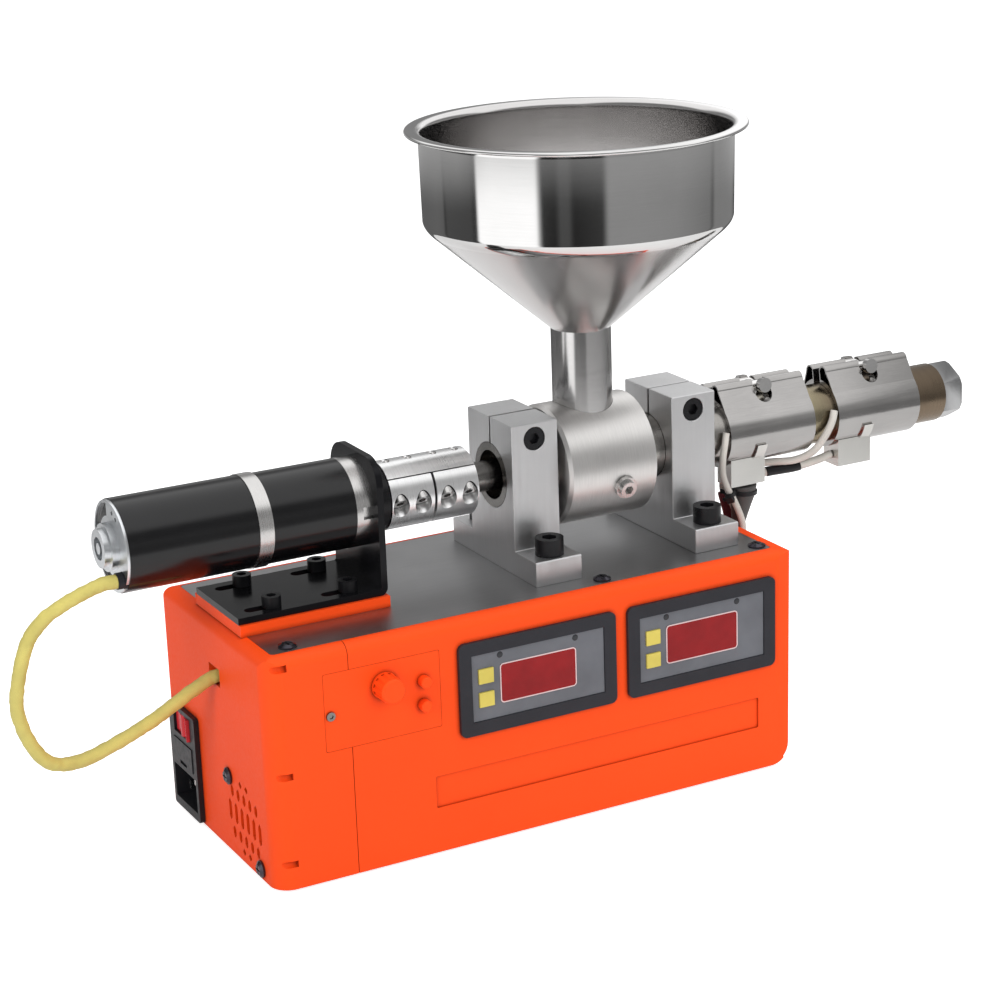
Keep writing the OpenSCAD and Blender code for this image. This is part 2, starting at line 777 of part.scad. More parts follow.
// Places of the coupling's screws, each with its shank along +z and its head at the bottom
module at_coupling_bolts() {
    for (u = coupling_bolt_u, s = [-1, 1])
        translate([s * coupling_bolt_x, 0, u]) rotate([-90, 0, 0]) children();
}

// Half of the coupling: side 1 above the split, -1 below it
module coupling_half(side) {
    station(coupling_u) rotate([0, 0, coupling_turn]) difference() {
        intersection() {
            cylinder(h = coupling_l, r = coupling_r);
            translate([-coupling_r, side > 0 ? split / 2 : -coupling_r - split / 2, 0])
                cube([2 * coupling_r, coupling_r, coupling_l]);
        }
        translate([0, 0, -1]) cylinder(h = coupling_l / 2, r = drive_r + fit / 2);
        translate([0, 0, coupling_l / 2 - 1.5]) cylinder(h = coupling_l, r = shank_r + fit / 2);
        at_coupling_bolts() {
            cylinder(h = 40, r = 2.15, center = true);
            translate([0, 0, -coupling_r - 6]) cylinder(h = coupling_r, r = 4);
        }
        children();
    }
}

module coupling_upper() {
    color("gray") coupling_half(1);
}

module coupling_lower() {
    color("gray") coupling_half(-1)
        translate([0, 0, coupling_l / 2]) cube([40, 40, 1.2], center = true);
}

module coupling_bolts() {
    color("#101010") station(coupling_u) rotate([0, 0, coupling_turn]) at_coupling_bolts()
        translate([0, 0, -6]) rotate([180, 0, 0]) cap_screw(3.5, 4, 2, 17);
}

module screw_shank() {
    start = coupling_u + coupling_l / 2 + 2;
    color("#3c3a38") station(start) cylinder(h = flight_u - start, r = shank_r);
}

// Section of the screw: a round core with one flight
function flight_section(core, tip) = concat(
    [for (a = [30:30:330]) core * [cos(a), sin(a)]],
    [tip * [cos(-7), sin(-7)], tip * [cos(7), sin(7)]]
);

// Flighted length of the screw, running in the bore, with its pointed end
module screw_flight() {
    color("#3c3a38") {
        station(flight_u) linear_extrude(flight_end - flight_u,
            twist = -360 * (flight_end - flight_u) / flight_pitch,
            slices = round(10 * (flight_end - flight_u) / flight_pitch), convexity = 8, $fn = 12)
            polygon(flight_section(bore_r - 2.8, bore_r - flight_gap));
        station(flight_end) cylinder(h = 5, r1 = bore_r - 3.3, r2 = 1, $fn = 12);
    }
}

// ---------- clamp blocks ----------

// Half of a block's outline on side s, with its two outer corners broken
function bevelled(p, s) = let (
    half = [
        p[0], p[1] - [0, edge_break], p[1] - [edge_break, 0],
        p[2], p[3] - [0, edge_break], p[3] - [edge_break, 0]
    ]
) s > 0 ? half : [for (i = [len(half) - 1:-1:0]) [-half[i][0], half[i][1]]];

module clamp_block(u) {
    mid = block_l / 2;
    difference() {
        station(u, deck_z) linear_extrude(block_l) polygon([
            for (s = [1, -1]) each bevelled([
                [block_w / 2, 0], [block_w / 2, block_foot], [post_w / 2, block_foot], [post_w / 2, block_h]
            ], s)
        ]);
        station(u - 1) cylinder(h = block_l + 2, r = barrel_r + fit);
        station(u - 1) translate([-slit / 2, 0, 0]) cube([slit, block_h, block_l + 2]);
        for (s = [-1, 1])
            translate([x0 + u + mid, s * block_bolt_y, deck_z - 1]) cylinder(h = block_foot + 2, r = 4.2);
        translate([x0 + u + mid, 0, deck_z + clamp_screw_h]) rotate([90, 0, 0]) {
            cylinder(h = 2 * post_w, r = 3.2, center = true);
            translate([0, 0, post_w / 2 - 5]) cylinder(h = 6, r = 5.4);
        }
    }
}

module clamp_block_left() {
    color("silver") clamp_block(block_1_u);
}

module clamp_block_right() {
    color("silver") clamp_block(block_2_u);
}

module block_bolts() {
    color("#151515") for (u = [block_1_u, block_2_u]) translate([x0 + u + block_l / 2, 0, deck_z]) {
        for (s = [-1, 1])
            translate([0, s * block_bolt_y, block_foot]) cap_screw(6.5, 8, 4, block_foot + deck_t);
        translate([0, -post_w / 2 + 5, clamp_screw_h]) rotate([90, 0, 0]) cap_screw(5, 4.6, 3, post_w - 7);
    }
}

// ---------- barrel, feed and hopper ----------

module barrel() {
    color("#7d7466") difference() {
        union() {
            station(block_1_u) cylinder(h = hot_u - block_1_u, r = barrel_r);
            station(hot_u - eps) cylinder(h = hot_l + eps, r = hot_r);
        }
        station(block_1_u - 1) cylinder(h = barrel_end - block_1_u + 2, r = bore_r);
        station(block_1_u - 1) cylinder(h = 13, r = 11.4);
        translate([x0 + hopper_u, 0, axis_z]) cylinder(h = 30, r = bore_r - 1);
    }
}

module feed_housing() {
    color("gray") difference() {
        union() {
            station(feed_u) cylinder(h = 1.5, r1 = feed_r - 1.5, r2 = feed_r);
            station(feed_u + 1.5) cylinder(h = feed_l - 1.5, r = feed_r);
        }
        station(feed_u - 1) cylinder(h = feed_l + 2, r = barrel_r + fit);
        translate([x0 + hopper_u, 0, axis_z]) cylinder(h = feed_r + 5, r = neck_r + fit);
        station(feed_screw_u) rotate([0, 0, feed_screw_turn]) rotate([0, -90, 0]) cylinder(h = 40, r = 4.15);
    }
}

module feed_set_screw() {
    top = feed_r + 4;
    color("silver") station(feed_screw_u) rotate([0, 0, feed_screw_turn]) rotate([0, -90, 0]) difference() {
        union() {
            translate([0, 0, barrel_r + fit]) cylinder(h = top - barrel_r - fit, r = 4);
            translate([0, 0, feed_r + 0.05]) cylinder(h = 2, r = 5.4, $fn = 12);
        }
        translate([0, 0, top - 3]) cylinder(h = 4, r = 2.3, $fn = 6);
    }
}

module hopper_neck() {
    bottom = axis_z + barrel_r + 0.5;
    color("silver") translate([x0 + hopper_u, 0, bottom])
        tube(deck_z + cone_h - bottom, neck_r, neck_r - sheet_t);
}

// Outline of the hopper's sheet, from the neck up to the rolled rim
module hopper_bowl() {
    color("silver") translate([x0 + hopper_u, 0, deck_z]) rotate_extrude($fn = 120) {
        polygon([
            [neck_r - sheet_t, cone_h], [neck_r, cone_h], [cone_r, knee_h - 2.5],
            [hopper_r - 2.2, knee_h - 1.1], [hopper_r - 0.9, knee_h + 0.7], [hopper_r - 0.3, knee_h + 3.1],
            [hopper_r + 0.3, lip_h], [hopper_r + 0.3 - sheet_t, lip_h],
            [hopper_r - 0.3 - sheet_t, knee_h + 3.6], [cone_r - sheet_t, knee_h - 1.9],
            [neck_r - sheet_t, cone_h + 0.6]
        ]);
        // Rim: turned outwards to a bead
        polygon([
            [hopper_r + 0.3 - sheet_t, lip_h - 0.1], [hopper_r + 0.3, lip_h - 0.1],
            [hopper_r + 1, lip_h + 0.9], [hopper_r + 2.2, lip_h + 1.3], [hopper_r + flare, lip_h + 1.3],
            [hopper_r + flare, rim_h - 0.2], [hopper_r + 2, rim_h - 0.3],
            [hopper_r + 0.4, rim_h - 0.9], [hopper_r + 0.3 - sheet_t, lip_h + 0.6]
        ]);
        translate([hopper_r + flare, rim_h - bead_r]) circle(bead_r);
    }
}

// ---------- heater bands ----------

// Angle at which a straight sheet leaves the band for the round fold at c, radius r
function fold_angle(c, r) = atan2(c[1], c[0]) + acos((band_r - r) / norm(c));

// Folded ear on the -x side, l long, with its fold drawn at radius r. Its straight sides
// run a little inside the arcs' tangents, so that they meet the arcs at a clear angle.
module ear(r, l) {
    c = [-ear_x, ear_y];
    a = fold_angle(c, ear_r);
    low = a + 4;
    top = a - 6;
    translate(c) cylinder(h = l, r = r);
    linear_extrude(l) polygon([
        (band_r - ear_r + r - 0.4) * [cos(low), sin(low)], c + (r - 0.2) * [cos(top), sin(top)],
        c + [r - 0.15, 0], [r - 0.15 - ear_x, 8], [-4, 4]
    ]);
}

// Heater band: a clamped ring whose outer sheet is folded into two hollow ears at its gap
module heater_band(u) {
    color("silver") station(u) rotate([0, 0, band_turn]) difference() {
        union() {
            cylinder(h = band_l, r = band_r);
            for (s = [0, 1]) mirror([s, 0, 0]) difference() {
                ear(ear_r, band_l);
                translate([0, 0, -1]) ear(ear_r - band_sheet, band_l + 2);
            }
        }
        translate([0, 0, -1]) cylinder(h = band_l + 2, r = hot_r + fit);
        translate([-ear_gap, 0, -1]) cube([2 * ear_gap, 30, band_l + 2]);
        // Notch of the clamp screw through both folds, round below the screw
        for (down = [0, notch_drop])
            translate([0, ear_y - down, band_l / 2])
                rotate([0, 90, 0]) cylinder(h = 60, r = 4.6, center = true);
    }
}

module heater_band_inner() {
    heater_band(band_1_u);
}

module heater_band_outer() {
    heater_band(band_2_u);
}

// Clamp screw across the ears, held by a pin in each fold
module band_clamp_bolts() {
    reach = ear_x + ear_r + 1;
    color("#8a8782") for (u = [band_1_u, band_2_u])
        station(u + band_l / 2) rotate([0, 0, band_turn]) translate([0, ear_y, 0]) {
            for (s = [-1, 1])
                translate([s * ear_x, 0, -pin_l / 2]) cylinder(h = pin_l, r = ear_r - band_sheet - 0.1);
            translate([-reach, 0, 0]) rotate([0, 90, 0]) cylinder(h = 2 * reach, r = 1.8);
            translate([-reach, 0, 0]) rotate([0, -90, 0]) cylinder(h = 3, r = 3.5);
            translate([reach - 3, 0, 0]) rotate([0, 90, 0]) cylinder(h = 3.2, r = 4, $fn = 6);
        }
}

module terminal_boxes() {
    color("#8d8a84") for (u = [band_1_u, band_2_u]) {
        difference() {
            translate([x0 + u + terminal_at[0], -terminal[1], axis_z + terminal_at[1]]) cube(terminal);
            station(u - 1) cylinder(h = band_l + 2, r = band_r + fit);
        }
        // Latch tab that holds the box's cover against the band
        station(u + terminal_at[0] + tab_u) rotate([0, 0, band_turn]) intersection() {
            tube(tab_size[0], band_r + fit + tab_size[1], band_r + fit);
            translate([-band_r - 2 * tab_size[1], tab_reach[0], -1])
                cube([band_r, tab_reach[1] - tab_reach[0], tab_size[0] + 2]);
        }
    }
}

module nozzle_cap() {
    color("#b0a890") station(barrel_end) difference() {
        intersection() {
            rotate([0, 0, 30]) cylinder(h = cap_t, r = cap_af / 2 / cos(30), $fn = 6);
            cylinder(h = cap_t, r1 = cap_af / 2 + cap_t + 0.6, r2 = cap_af / 2 + 0.8);
        }
        translate([0, 0, -1]) cylinder(h = cap_t + 2, r = 4);
    }
}

// ---------- cables ----------

// Steps of a route, taken from the place that it starts from
function from(place, steps) = [for (p = steps) place + p];

module motor_cable() {
    color("khaki") cable(concat(
        from(gland_at, cable_from_gland), from(cable_hole, cable_to_hole)
    ), cable_r, 10, 4);
}

module inner_heater_lead() {
    color("gainsboro") cable(concat(
        from(inner_box, inner_from_box), from(lead_hole, inner_to_hole)
    ), lead_r, 8, 4);
}

module outer_heater_lead() {
    color("gainsboro") cable(concat(
        from(outer_box, outer_from_box), from(lead_hole, outer_to_hole)
    ), lead_r, 8, 4);
}

module inner_sensor_lead() {
    color("gainsboro") cable(concat(
        from(inner_rim, inner_from_rim), from(lead_hole, inner_rim_to_hole)
    ), sensor_r, 8, 4);
}

module outer_sensor_lead() {
    color("brown") cable(concat(
        from(outer_rim, outer_from_rim), from(lead_hole, outer_rim_to_hole)
    ), sleeve_r, 8, 4);
}

housing_left();
housing_right();
rubber_feet();
deck_plate();
case_screws();
control_panel();
panel_screw();
speed_knob();
upper_button();
lower_button();
meter_bezels();
meter_faces();
meter_displays();
meter_keys();
inlet_body();
inlet_pins();
fuse_drawer();
rocker_switch();
motor_riser();
motor_bracket();
bracket_bolts();
motor_can();
motor_end_cap();
cable_gland();
gearbox_rings();
gearbox_case();
gearbox_boss();
output_shaft();
coupling_upper();
coupling_lower();
coupling_bolts();
screw_shank();
screw_flight();
clamp_block_left();
clamp_block_right();
block_bolts();
barrel();
feed_housing();
feed_set_screw();
hopper_neck();
hopper_bowl();
heater_band_inner();
heater_band_outer();
band_clamp_bolts();
terminal_boxes();
nozzle_cap();
motor_cable();
inner_heater_lead();
outer_heater_lead();
inner_sensor_lead();
outer_sensor_lead();
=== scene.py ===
"""Looks of the bench-top filament extruder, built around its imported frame.

The frame holds every rigid part in metres: +X runs along the screw towards the nozzle,
the front controls face -Y and +Z is up. Each sub-assembly below is a class that makes
the meshes the frame leaves out and dresses its parts in procedural finishes.
"""

import logging
import math
from abc import ABC, abstractmethod
from dataclasses import dataclass, replace
from enum import Enum
from typing import Optional, Sequence, Union

import bmesh
import bpy
from mathutils import Matrix, Vector, noise


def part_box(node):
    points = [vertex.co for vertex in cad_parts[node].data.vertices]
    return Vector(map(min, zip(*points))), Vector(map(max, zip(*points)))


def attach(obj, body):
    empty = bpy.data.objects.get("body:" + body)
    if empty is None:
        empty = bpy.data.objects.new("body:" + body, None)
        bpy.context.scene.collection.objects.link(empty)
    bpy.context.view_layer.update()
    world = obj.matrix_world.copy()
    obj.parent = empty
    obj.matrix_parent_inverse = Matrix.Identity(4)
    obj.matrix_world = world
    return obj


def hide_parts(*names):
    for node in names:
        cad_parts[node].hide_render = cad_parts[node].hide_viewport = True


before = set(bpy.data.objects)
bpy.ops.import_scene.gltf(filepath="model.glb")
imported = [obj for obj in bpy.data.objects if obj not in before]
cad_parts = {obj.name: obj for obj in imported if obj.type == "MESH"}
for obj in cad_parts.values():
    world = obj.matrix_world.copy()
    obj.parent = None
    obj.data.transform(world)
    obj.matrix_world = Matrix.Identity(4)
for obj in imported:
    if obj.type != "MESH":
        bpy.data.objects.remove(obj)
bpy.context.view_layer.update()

LOG = logging.getLogger("extruder")
MM = 0.001
MACHINE = "machine"
# Points nearer than this are one
WELD = 0.002 * MM
# Degrees between two faces from which their edge shows sharp, on worked and on turned pieces
SHARP = 28.0
TURNED_SHARP = 35.0
# One over the size in metres of the swells in a crinkled cable
CREASES = 420.0

Colour = tuple[float, float, float]
Point = tuple[float, float, float]
Pair = tuple[float, float]
Socket = bpy.types.NodeSocket
Mesh = bpy.types.Mesh
Piece = bpy.types.Object
Form = bmesh.types.BMesh
Vert = bmesh.types.BMVert
Face = bmesh.types.BMFace
Path = Sequence[Vector]
Value = Union[float, Sequence[float], Socket, str]

WHITE: Colour = (1.0, 1.0, 1.0)


# ---- node materials


class Axis(Enum):
    """Axis of the frame that a finish's lines or grooves follow."""

    X = 0
    Y = 1
    Z = 2


class Graph:
    """Node tree, with short calls for the nodes that the looks share."""

    def __init__(self, tree: bpy.types.NodeTree) -> None:
        """Empties the tree and keeps it."""
        self.tree = tree
        tree.nodes.clear()

    def node(
        self, kind: str, inputs: Optional[dict[Union[str, int], Value]] = None, **settings: object
    ) -> bpy.types.Node:
        """Adds a node.

        Args:
            kind: The node's type.
            inputs: Values or sockets for its inputs, by name or number.
            settings: The node's own properties.

        Returns:
            The new node.
        """
        made = self.tree.nodes.new(kind)
        for key, value in settings.items():
            setattr(made, key, value)
        for key, value in (inputs or {}).items():
            self.feed(made.inputs[key], value)
        return made

    def feed(self, socket: Socket, value: Value) -> None:
        """Links a socket to another, or sets its value.

        Args:
            socket: The input to fill.
            value: The socket to link from, or the value to set.
        """
        if isinstance(value, Socket):
            self.tree.links.new(value, socket)
        elif socket.type == "RGBA" and len(value) == 3:
            socket.default_value = (*value, 1.0)
        else:
            socket.default_value = value

    def maths(self, operation: str, *values: Value) -> Socket:
        """Adds a maths node on the values and returns its result."""
        return self.node("ShaderNodeMath", dict(enumerate(values)), operation=operation).outputs[0]

    def span(
        self, value: Value, low: float, high: float, to_low: float = 0.0, to_high: float = 1.0
    ) -> Socket:
        """Maps low to high onto to_low to to_high, clamped, and returns the result."""
        inputs = {0: value, 1: low, 2: high, 3: to_low, 4: to_high}
        return self.node("ShaderNodeMapRange", inputs, clamp=True).outputs[0]

    def ramp(self, value: Socket, stops: Sequence[tuple[float, Colour]]) -> Socket:
        """Adds a colour ramp.

        Args:
            value: The value that picks the colour.
            stops: Positions and their colours, in rising order.

        Returns:
            The colour.
        """
        made = self.node("ShaderNodeValToRGB", {"Fac": value})
        elements = made.color_ramp.elements
        while len(elements) < len(stops):
            elements.new(1.0)
        for element, (position, colour) in zip(elements, stops):
            element.position = position
            element.color = (*colour, 1.0)
        return made.outputs["Color"]

    def mix(self, amount: Value, low: Value, high: Value, blend: str = "MIX") -> Socket:
        """Blends a second colour, high, into a first by an amount and returns the result."""
        inputs = {0: amount, 6: low, 7: high}
        return self.node("ShaderNodeMix", inputs, data_type="RGBA", blend_type=blend).outputs[2]


class Surface(Graph):
    """Node tree of one material, with calls for its shader and for noise on its coordinates."""

    def __init__(self, name: str) -> None:
        """Starts the material.

        Args:
            name: The material's name.
        """
        self.material = bpy.data.materials.new(name)
        self.material.use_nodes = True
        super().__init__(self.material.node_tree)
        self.shader = self.node("ShaderNodeBsdfPrincipled")
        self.output = self.node("ShaderNodeOutputMaterial", {"Surface": self.shader.outputs[0]})
        self.place = self.node("ShaderNodeTexCoord").outputs["Object"]

    def set(self, **inputs: Value) -> None:
        """Fills inputs of the main shader, named with _ for a space."""
        for key, value in inputs.items():
            self.feed(self.shader.inputs[key.replace("_", " ")], value)

    def glow(self, colour: Value, strength: Value) -> Socket:
        """Returns light given off in a colour."""
        return self.node("ShaderNodeEmission", {"Color": colour, "Strength": strength}).outputs[0]

    def coordinates(self) -> tuple[Socket, ...]:
        """Returns the three coordinates of the frame."""
        return tuple(self.node("ShaderNodeSeparateXYZ", {"Vector": self.place}).outputs)

    def noise(self, scale: float, detail: float = 3.0, squeeze: Optional[Point] = None) -> Socket:
        """Adds noise over the frame.

        Args:
            scale: One over the size of its features in metres.
            detail: How many finer layers it has.
            squeeze: Factors on X, Y and Z, small ones for features drawn out along an axis.

        Returns:
            The noise, from 0 to 1.
        """
        place = self.place
        if squeeze:
            place = self.node("ShaderNodeMapping", {"Vector": place, "Scale": squeeze}).outputs[0]
        inputs = {"Vector": place, "Scale": scale, "Detail": detail, "Roughness": 0.55}
        return self.node("ShaderNodeTexNoise", inputs).outputs["Fac"]

    def drift(self, scale: float, detail: float, low: float = 0.0, high: float = 1.0) -> Socket:
        """Returns noise of a scale and detail as a value that drifts from low to high."""
        return self.span(self.noise(scale, detail), 0.3, 0.7, low, high)

    def mottle(self, colour: Colour, cloud: Socket, dark: float, light: float) -> Socket:
        """Returns a colour that a cloud turns darker and lighter by two factors."""
        return self.mix(cloud, shade(colour, dark), shade(colour, light))

    def bump(self, height: Socket, depth: float, strength: float = 1.0) -> None:
        """Adds relief to what the shader has already.

        Args:
            height: Height from 0 to 1.
            depth: Depth of the relief in metres.
            strength: Share of the relief that shows.
        """
        normal = self.shader.inputs["Normal"]
        inputs = {"Height": height, "Distance": depth, "Strength": strength}
        if normal.links:
            inputs["Normal"] = normal.links[0].from_socket
        self.feed(normal, self.node("ShaderNodeBump", inputs).outputs["Normal"])


def shade(colour: Colour, factor: float) -> Colour:
    """Returns the colour made lighter or darker by a factor."""
    return tuple(min(part * factor, 1.0) for part in colour)


@dataclass(frozen=True)
class Finish(ABC):
    """A finish that can be put on a piece."""

    name: str
    colour: Colour

    @abstractmethod
    def draw(self, graph: Surface) -> None:
        """Draws the finish.

        Args:
            graph: The material's tree.
        """

    def material(self) -> bpy.types.Material:
        """Makes the finish's material the first time that it is asked for.

        Returns:
            The material.
        """
        made = bpy.data.materials.get(f"{self.name}_finish")
        if made is None:
            graph = Surface(f"{self.name}_finish")
            self.draw(graph)
            made = graph.material
        return made


@dataclass(frozen=True)
class PrintedPlastic(Finish):
    """Fused layers of plastic, with fine level lines, a slightly uneven sheen and painted shade in
    its creases.
    """

    layer: float = 0.28 * MM
    relief: float = 0.012 * MM
    waver: float = 0.04 * MM
    grit: float = 0.02 * MM
    roughness: float = 0.42
    # Reach of the painted crease shade, and the factor on the colour where that shade is deepest
    crease: float = 2.5 * MM
    painted_crease_shade: float = 0.4

    def draw(self, graph: Surface) -> None:
        """Draws the layers along Z, slow changes of tone and painted shade in the creases.

        Args:
            graph: The material's tree.
        """
        waver = graph.maths("MULTIPLY", graph.noise(140.0, 2.0), self.waver)
        height = graph.maths("ADD", graph.coordinates()[2], waver)
        angle = graph.maths("MULTIPLY", height, 2 * math.pi / self.layer)
        lines = graph.maths("MULTIPLY_ADD", graph.maths("SINE", angle), 0.5, 0.5)
        tone = graph.mottle(self.colour, graph.drift(9.0, 4.0), 0.94, 1.04)
        # Painted shade: ambient occlusion darkens the colour in creases and next to parts that
        # stand close
        crease = graph.node("ShaderNodeAmbientOcclusion", {"Distance": self.crease}, samples=8)
        unshaded = graph.span(crease.outputs["AO"], 0.45, 0.95)
        tone = graph.mix(unshaded, shade(self.colour, self.painted_crease_shade), tone)
        low, high = self.roughness - 0.05, self.roughness + 0.07
        rough = graph.span(graph.noise(700.0), 0.25, 0.75, low, high)
        graph.set(Base_Color=tone, Specular_IOR_Level=0.16, Roughness=rough)
        graph.bump(lines, self.relief, 0.55)
        graph.bump(graph.noise(1400.0, 4.0), self.grit, 0.35)


@dataclass(frozen=True)
class MouldedPlastic(Finish):
    """Moulded plastic or rubber with a fine grain."""

    roughness: float = 0.45
    grain: float = 2600.0
    relief: float = 0.012 * MM
    gloss: float = 0.3

    def draw(self, graph: Surface) -> None:
        """Draws the grain and a faint mottle.

        Args:
            graph: The material's tree.
        """
        tone = graph.mottle(self.colour, graph.drift(60.0, 3.0), 0.9, 1.12)
        rough = graph.drift(400.0, 3.0, self.roughness - 0.06, self.roughness + 0.08)
        graph.set(Base_Color=tone, Specular_IOR_Level=self.gloss, Roughness=rough)
        graph.bump(graph.noise(self.grain, 2.0), self.relief, 0.6)


@dataclass(frozen=True)
class ClearWindow(Finish):
    """Tinted window or lens with a deep gloss."""

    roughness: float = 0.12
    wave: float = 0.02 * MM

    def draw(self, graph: Surface) -> None:
        """Draws the tint, a little uneven, and the surface's slow waves.

        Args:
            graph: The material's tree.
        """
        tone = graph.mottle(self.colour, graph.drift(90.0, 2.0), 0.86, 1.1)
        graph.set(Base_Color=tone, Roughness=self.roughness, Specular_IOR_Level=0.2)
        graph.bump(graph.noise(220.0, 2.0), self.wave, 0.25)


@dataclass(frozen=True)
class PaintedMetal(Finish):
    """Satin paint or black oxide over metal, worn a little brighter in places."""

    roughness: float = 0.34
    metallic: float = 0.0
    worn: float = 1.7
    grain: float = 1500.0
    gloss: float = 0.5
    relief: float = 0.012 * MM
    wander: float = 0.07

    def draw(self, graph: Surface) -> None:
        """Draws the coat's fine orange peel and its worn spots.

        Args:
            graph: The material's tree.
        """
        wear = graph.span(graph.noise(55.0, 6.0), 0.52, 0.78)
        rough = graph.drift(90.0, 4.0, self.roughness - self.wander, self.roughness + self.wander)
        graph.set(Base_Color=graph.mottle(self.colour, wear, 1.0, self.worn), Roughness=rough)
        graph.set(Metallic=self.metallic, Specular_IOR_Level=self.gloss)
        graph.bump(graph.noise(self.grain), self.relief, 0.4)


@dataclass(frozen=True)
class LinedMetal(Finish):
    """Bare metal with fine lines across one axis: turned, brushed, spun or drawn."""

    roughness: float = 0.28
    along: Axis = Axis.X
    pitch: float = 0.12 * MM
    relief: float = 0.004 * MM
    stretch: float = 60.0
    blotch: float = 0.1
    contrast: float = 0.45
    smudge: float = 0.1

    def draw(self, graph: Surface) -> None:
        """Draws the lines as noise squeezed along one axis, with cloudy tone and smudged gloss.

        Args:
            graph: The material's tree.
        """
        factors = [1.0 / self.stretch] * 3
        factors[self.along.value] = 1.0
        lines = graph.noise(1.0 / self.pitch, 3.0, tuple(factors))
        cloud = graph.drift(38.0, 5.0)
        tone = graph.mottle(self.colour, cloud, 1 - self.blotch, 1 + self.blotch)
        fine = graph.mottle(self.colour, graph.span(lines, 0.35, 0.65), 0.82, 1.1)
        graph.set(Base_Color=graph.mix(self.contrast, tone, fine), Metallic=1.0)
        smears = graph.maths("MULTIPLY", cloud, 0.6 * self.smudge)
        smears = graph.maths("ADD", graph.maths("MULTIPLY", lines, self.smudge), smears)
        graph.set(Roughness=graph.maths("ADD", smears, self.roughness - 0.8 * self.smudge))
        graph.bump(lines, self.relief, 0.8)


@dataclass(frozen=True)
class CastMetal(Finish):
    """Tumbled or bead-blasted aluminium with a soft, even grain."""

    roughness: float = 0.42
    grain: float = 0.018 * MM
    mill: float = 0.006 * MM

    def draw(self, graph: Surface) -> None:
        """Draws the blasted grain, faint mill lines and a cloudy tone.

        Args:
            graph: The material's tree.
        """
        tone = graph.mottle(self.colour, graph.drift(28.0, 5.0), 0.95, 1.04)
        mill = graph.noise(900.0, 3.0, (1.0, 1.0, 0.04))
        rough = graph.span(mill, 0.3, 0.7, self.roughness - 0.05, self.roughness + 0.07)
        graph.set(Base_Color=tone, Metallic=1.0, Roughness=rough)
        graph.bump(graph.noise(3200.0), self.grain, 0.5)
        graph.bump(mill, self.mill, 0.4)


@dataclass(frozen=True)
class HeatTintedSteel(Finish):
    """Turned steel that heat has turned straw and brown towards the nozzle."""

    straw: Colour = (0.33, 0.29, 0.19)
    brown: Colour = (0.17, 0.13, 0.092)
    cut: float = 0.0
    # Painted shade at the barrel's left cut end: how far it reaches and how dark it starts
    end_shade_width: float = 1.5 * MM
    painted_end_shade: float = 0.42
    start: float = 0.0
    end: float = 0.2
    ragged: float = 0.012
    roughness: float = 0.24
    relief: float = 0.004 * MM

    def draw(self, graph: Surface) -> None:
        """Draws the tint along X over turned lines, with painted shade at the cut end.

        Args:
            graph: The material's tree.
        """
        along = graph.coordinates()[0]
        edge = graph.maths("ADD", along, graph.maths("MULTIPLY", graph.noise(40.0), self.ragged))
        colours = (self.colour, self.straw, self.brown, shade(self.brown, 1.15))
        stops = list(zip((0.0, 0.3, 0.5, 1.0), colours))
        tint = graph.ramp(graph.span(edge, self.start, self.end), stops)
        lines = graph.noise(5200.0, 3.0, (1.0, 0.02, 0.02))
        # Painted shade: the colour darkens towards the cut end at X = cut
        unshaded = graph.span(along, self.cut, self.cut + self.end_shade_width, self.painted_end_shade)
        fine = graph.maths("MULTIPLY", graph.span(lines, 0.3, 0.7, 0.86, 1.08), unshaded)
        rough = graph.drift(60.0, 4.0, self.roughness - 0.05, self.roughness + 0.1)
        graph.set(Base_Color=graph.mix(1.0, tint, fine, "MULTIPLY"), Metallic=1.0, Roughness=rough)
        graph.bump(lines, self.relief, 0.8)


@dataclass(frozen=True)
class Braid(Finish):
    """Braided or woven sleeve, drawn along the tube's own length and girth."""

    strand: float = 0.55 * MM
    relief: float = 0.12 * MM
    roughness: float = 0.62
    sheen: float = 0.15

    def draw(self, graph: Surface) -> None:
        """Draws two sets of crossing strands from the tube's UVs, which are metres.

        Args:
            graph: The material's tree.
        """
        uv = graph.node("ShaderNodeUVMap", uv_map="tube").outputs["UV"]
        run, girth, _ = graph.node("ShaderNodeSeparateXYZ", {"Vector": uv}).outputs
        waves = []
        for sign in (1.0, -1.0):
            lean = graph.maths("MULTIPLY_ADD", girth, sign, run)
            waves.append(graph.maths("SINE", graph.maths("MULTIPLY", lean, math.pi / self.strand)))
        weave = graph.maths("MULTIPLY_ADD", graph.maths("MAXIMUM", *waves), 0.5, 0.5)
        tone = graph.mottle(self.colour, graph.drift(90.0, 4.0), 0.86, 1.1)
        tone = graph.mix(graph.span(weave, 0.35, 0.9), shade(self.colour, 0.7), tone)
        graph.set(Base_Color=tone, Roughness=self.roughness)
        graph.set(Sheen_Weight=self.sheen, Sheen_Roughness=0.4)
        graph.bump(weave, self.relief, 0.7)


# ---- finishes of this machine

ORANGE_PRINT = PrintedPlastic("orange_print", (0.93, 0.075, 0.008), roughness=0.5)

FEET_RUBBER = MouldedPlastic("feet_rubber", (0.02, 0.02, 0.022), 0.7)
TIE_NYLON = MouldedPlastic("tie_nylon", (0.010, 0.010, 0.011), 0.36)
BLACK_PLASTIC = MouldedPlastic("black_plastic", (0.017, 0.017, 0.020), 0.36, gloss=0.18)
BEZEL_PLASTIC = MouldedPlastic("bezel_plastic", (0.021, 0.021, 0.026), 0.42, gloss=0.22)
METER_FILM = MouldedPlastic("meter_film", (0.125, 0.13, 0.145), 0.36, 1800.0, gloss=0.2)
KEY_RUBBER = MouldedPlastic("key_rubber", (0.60, 0.50, 0.11), 0.5, gloss=0.15)
TRIM_INK = MouldedPlastic("trim_ink", (0.66, 0.50, 0.50), 0.5, gloss=0.1)

RED_WINDOW = ClearWindow("red_window", (0.24, 0.008, 0.010))
SMOKED_LENS = ClearWindow("smoked_lens", (0.035, 0.036, 0.04), 0.2)
ROCKER_RED = ClearWindow("rocker_red", (0.62, 0.03, 0.04), 0.18)

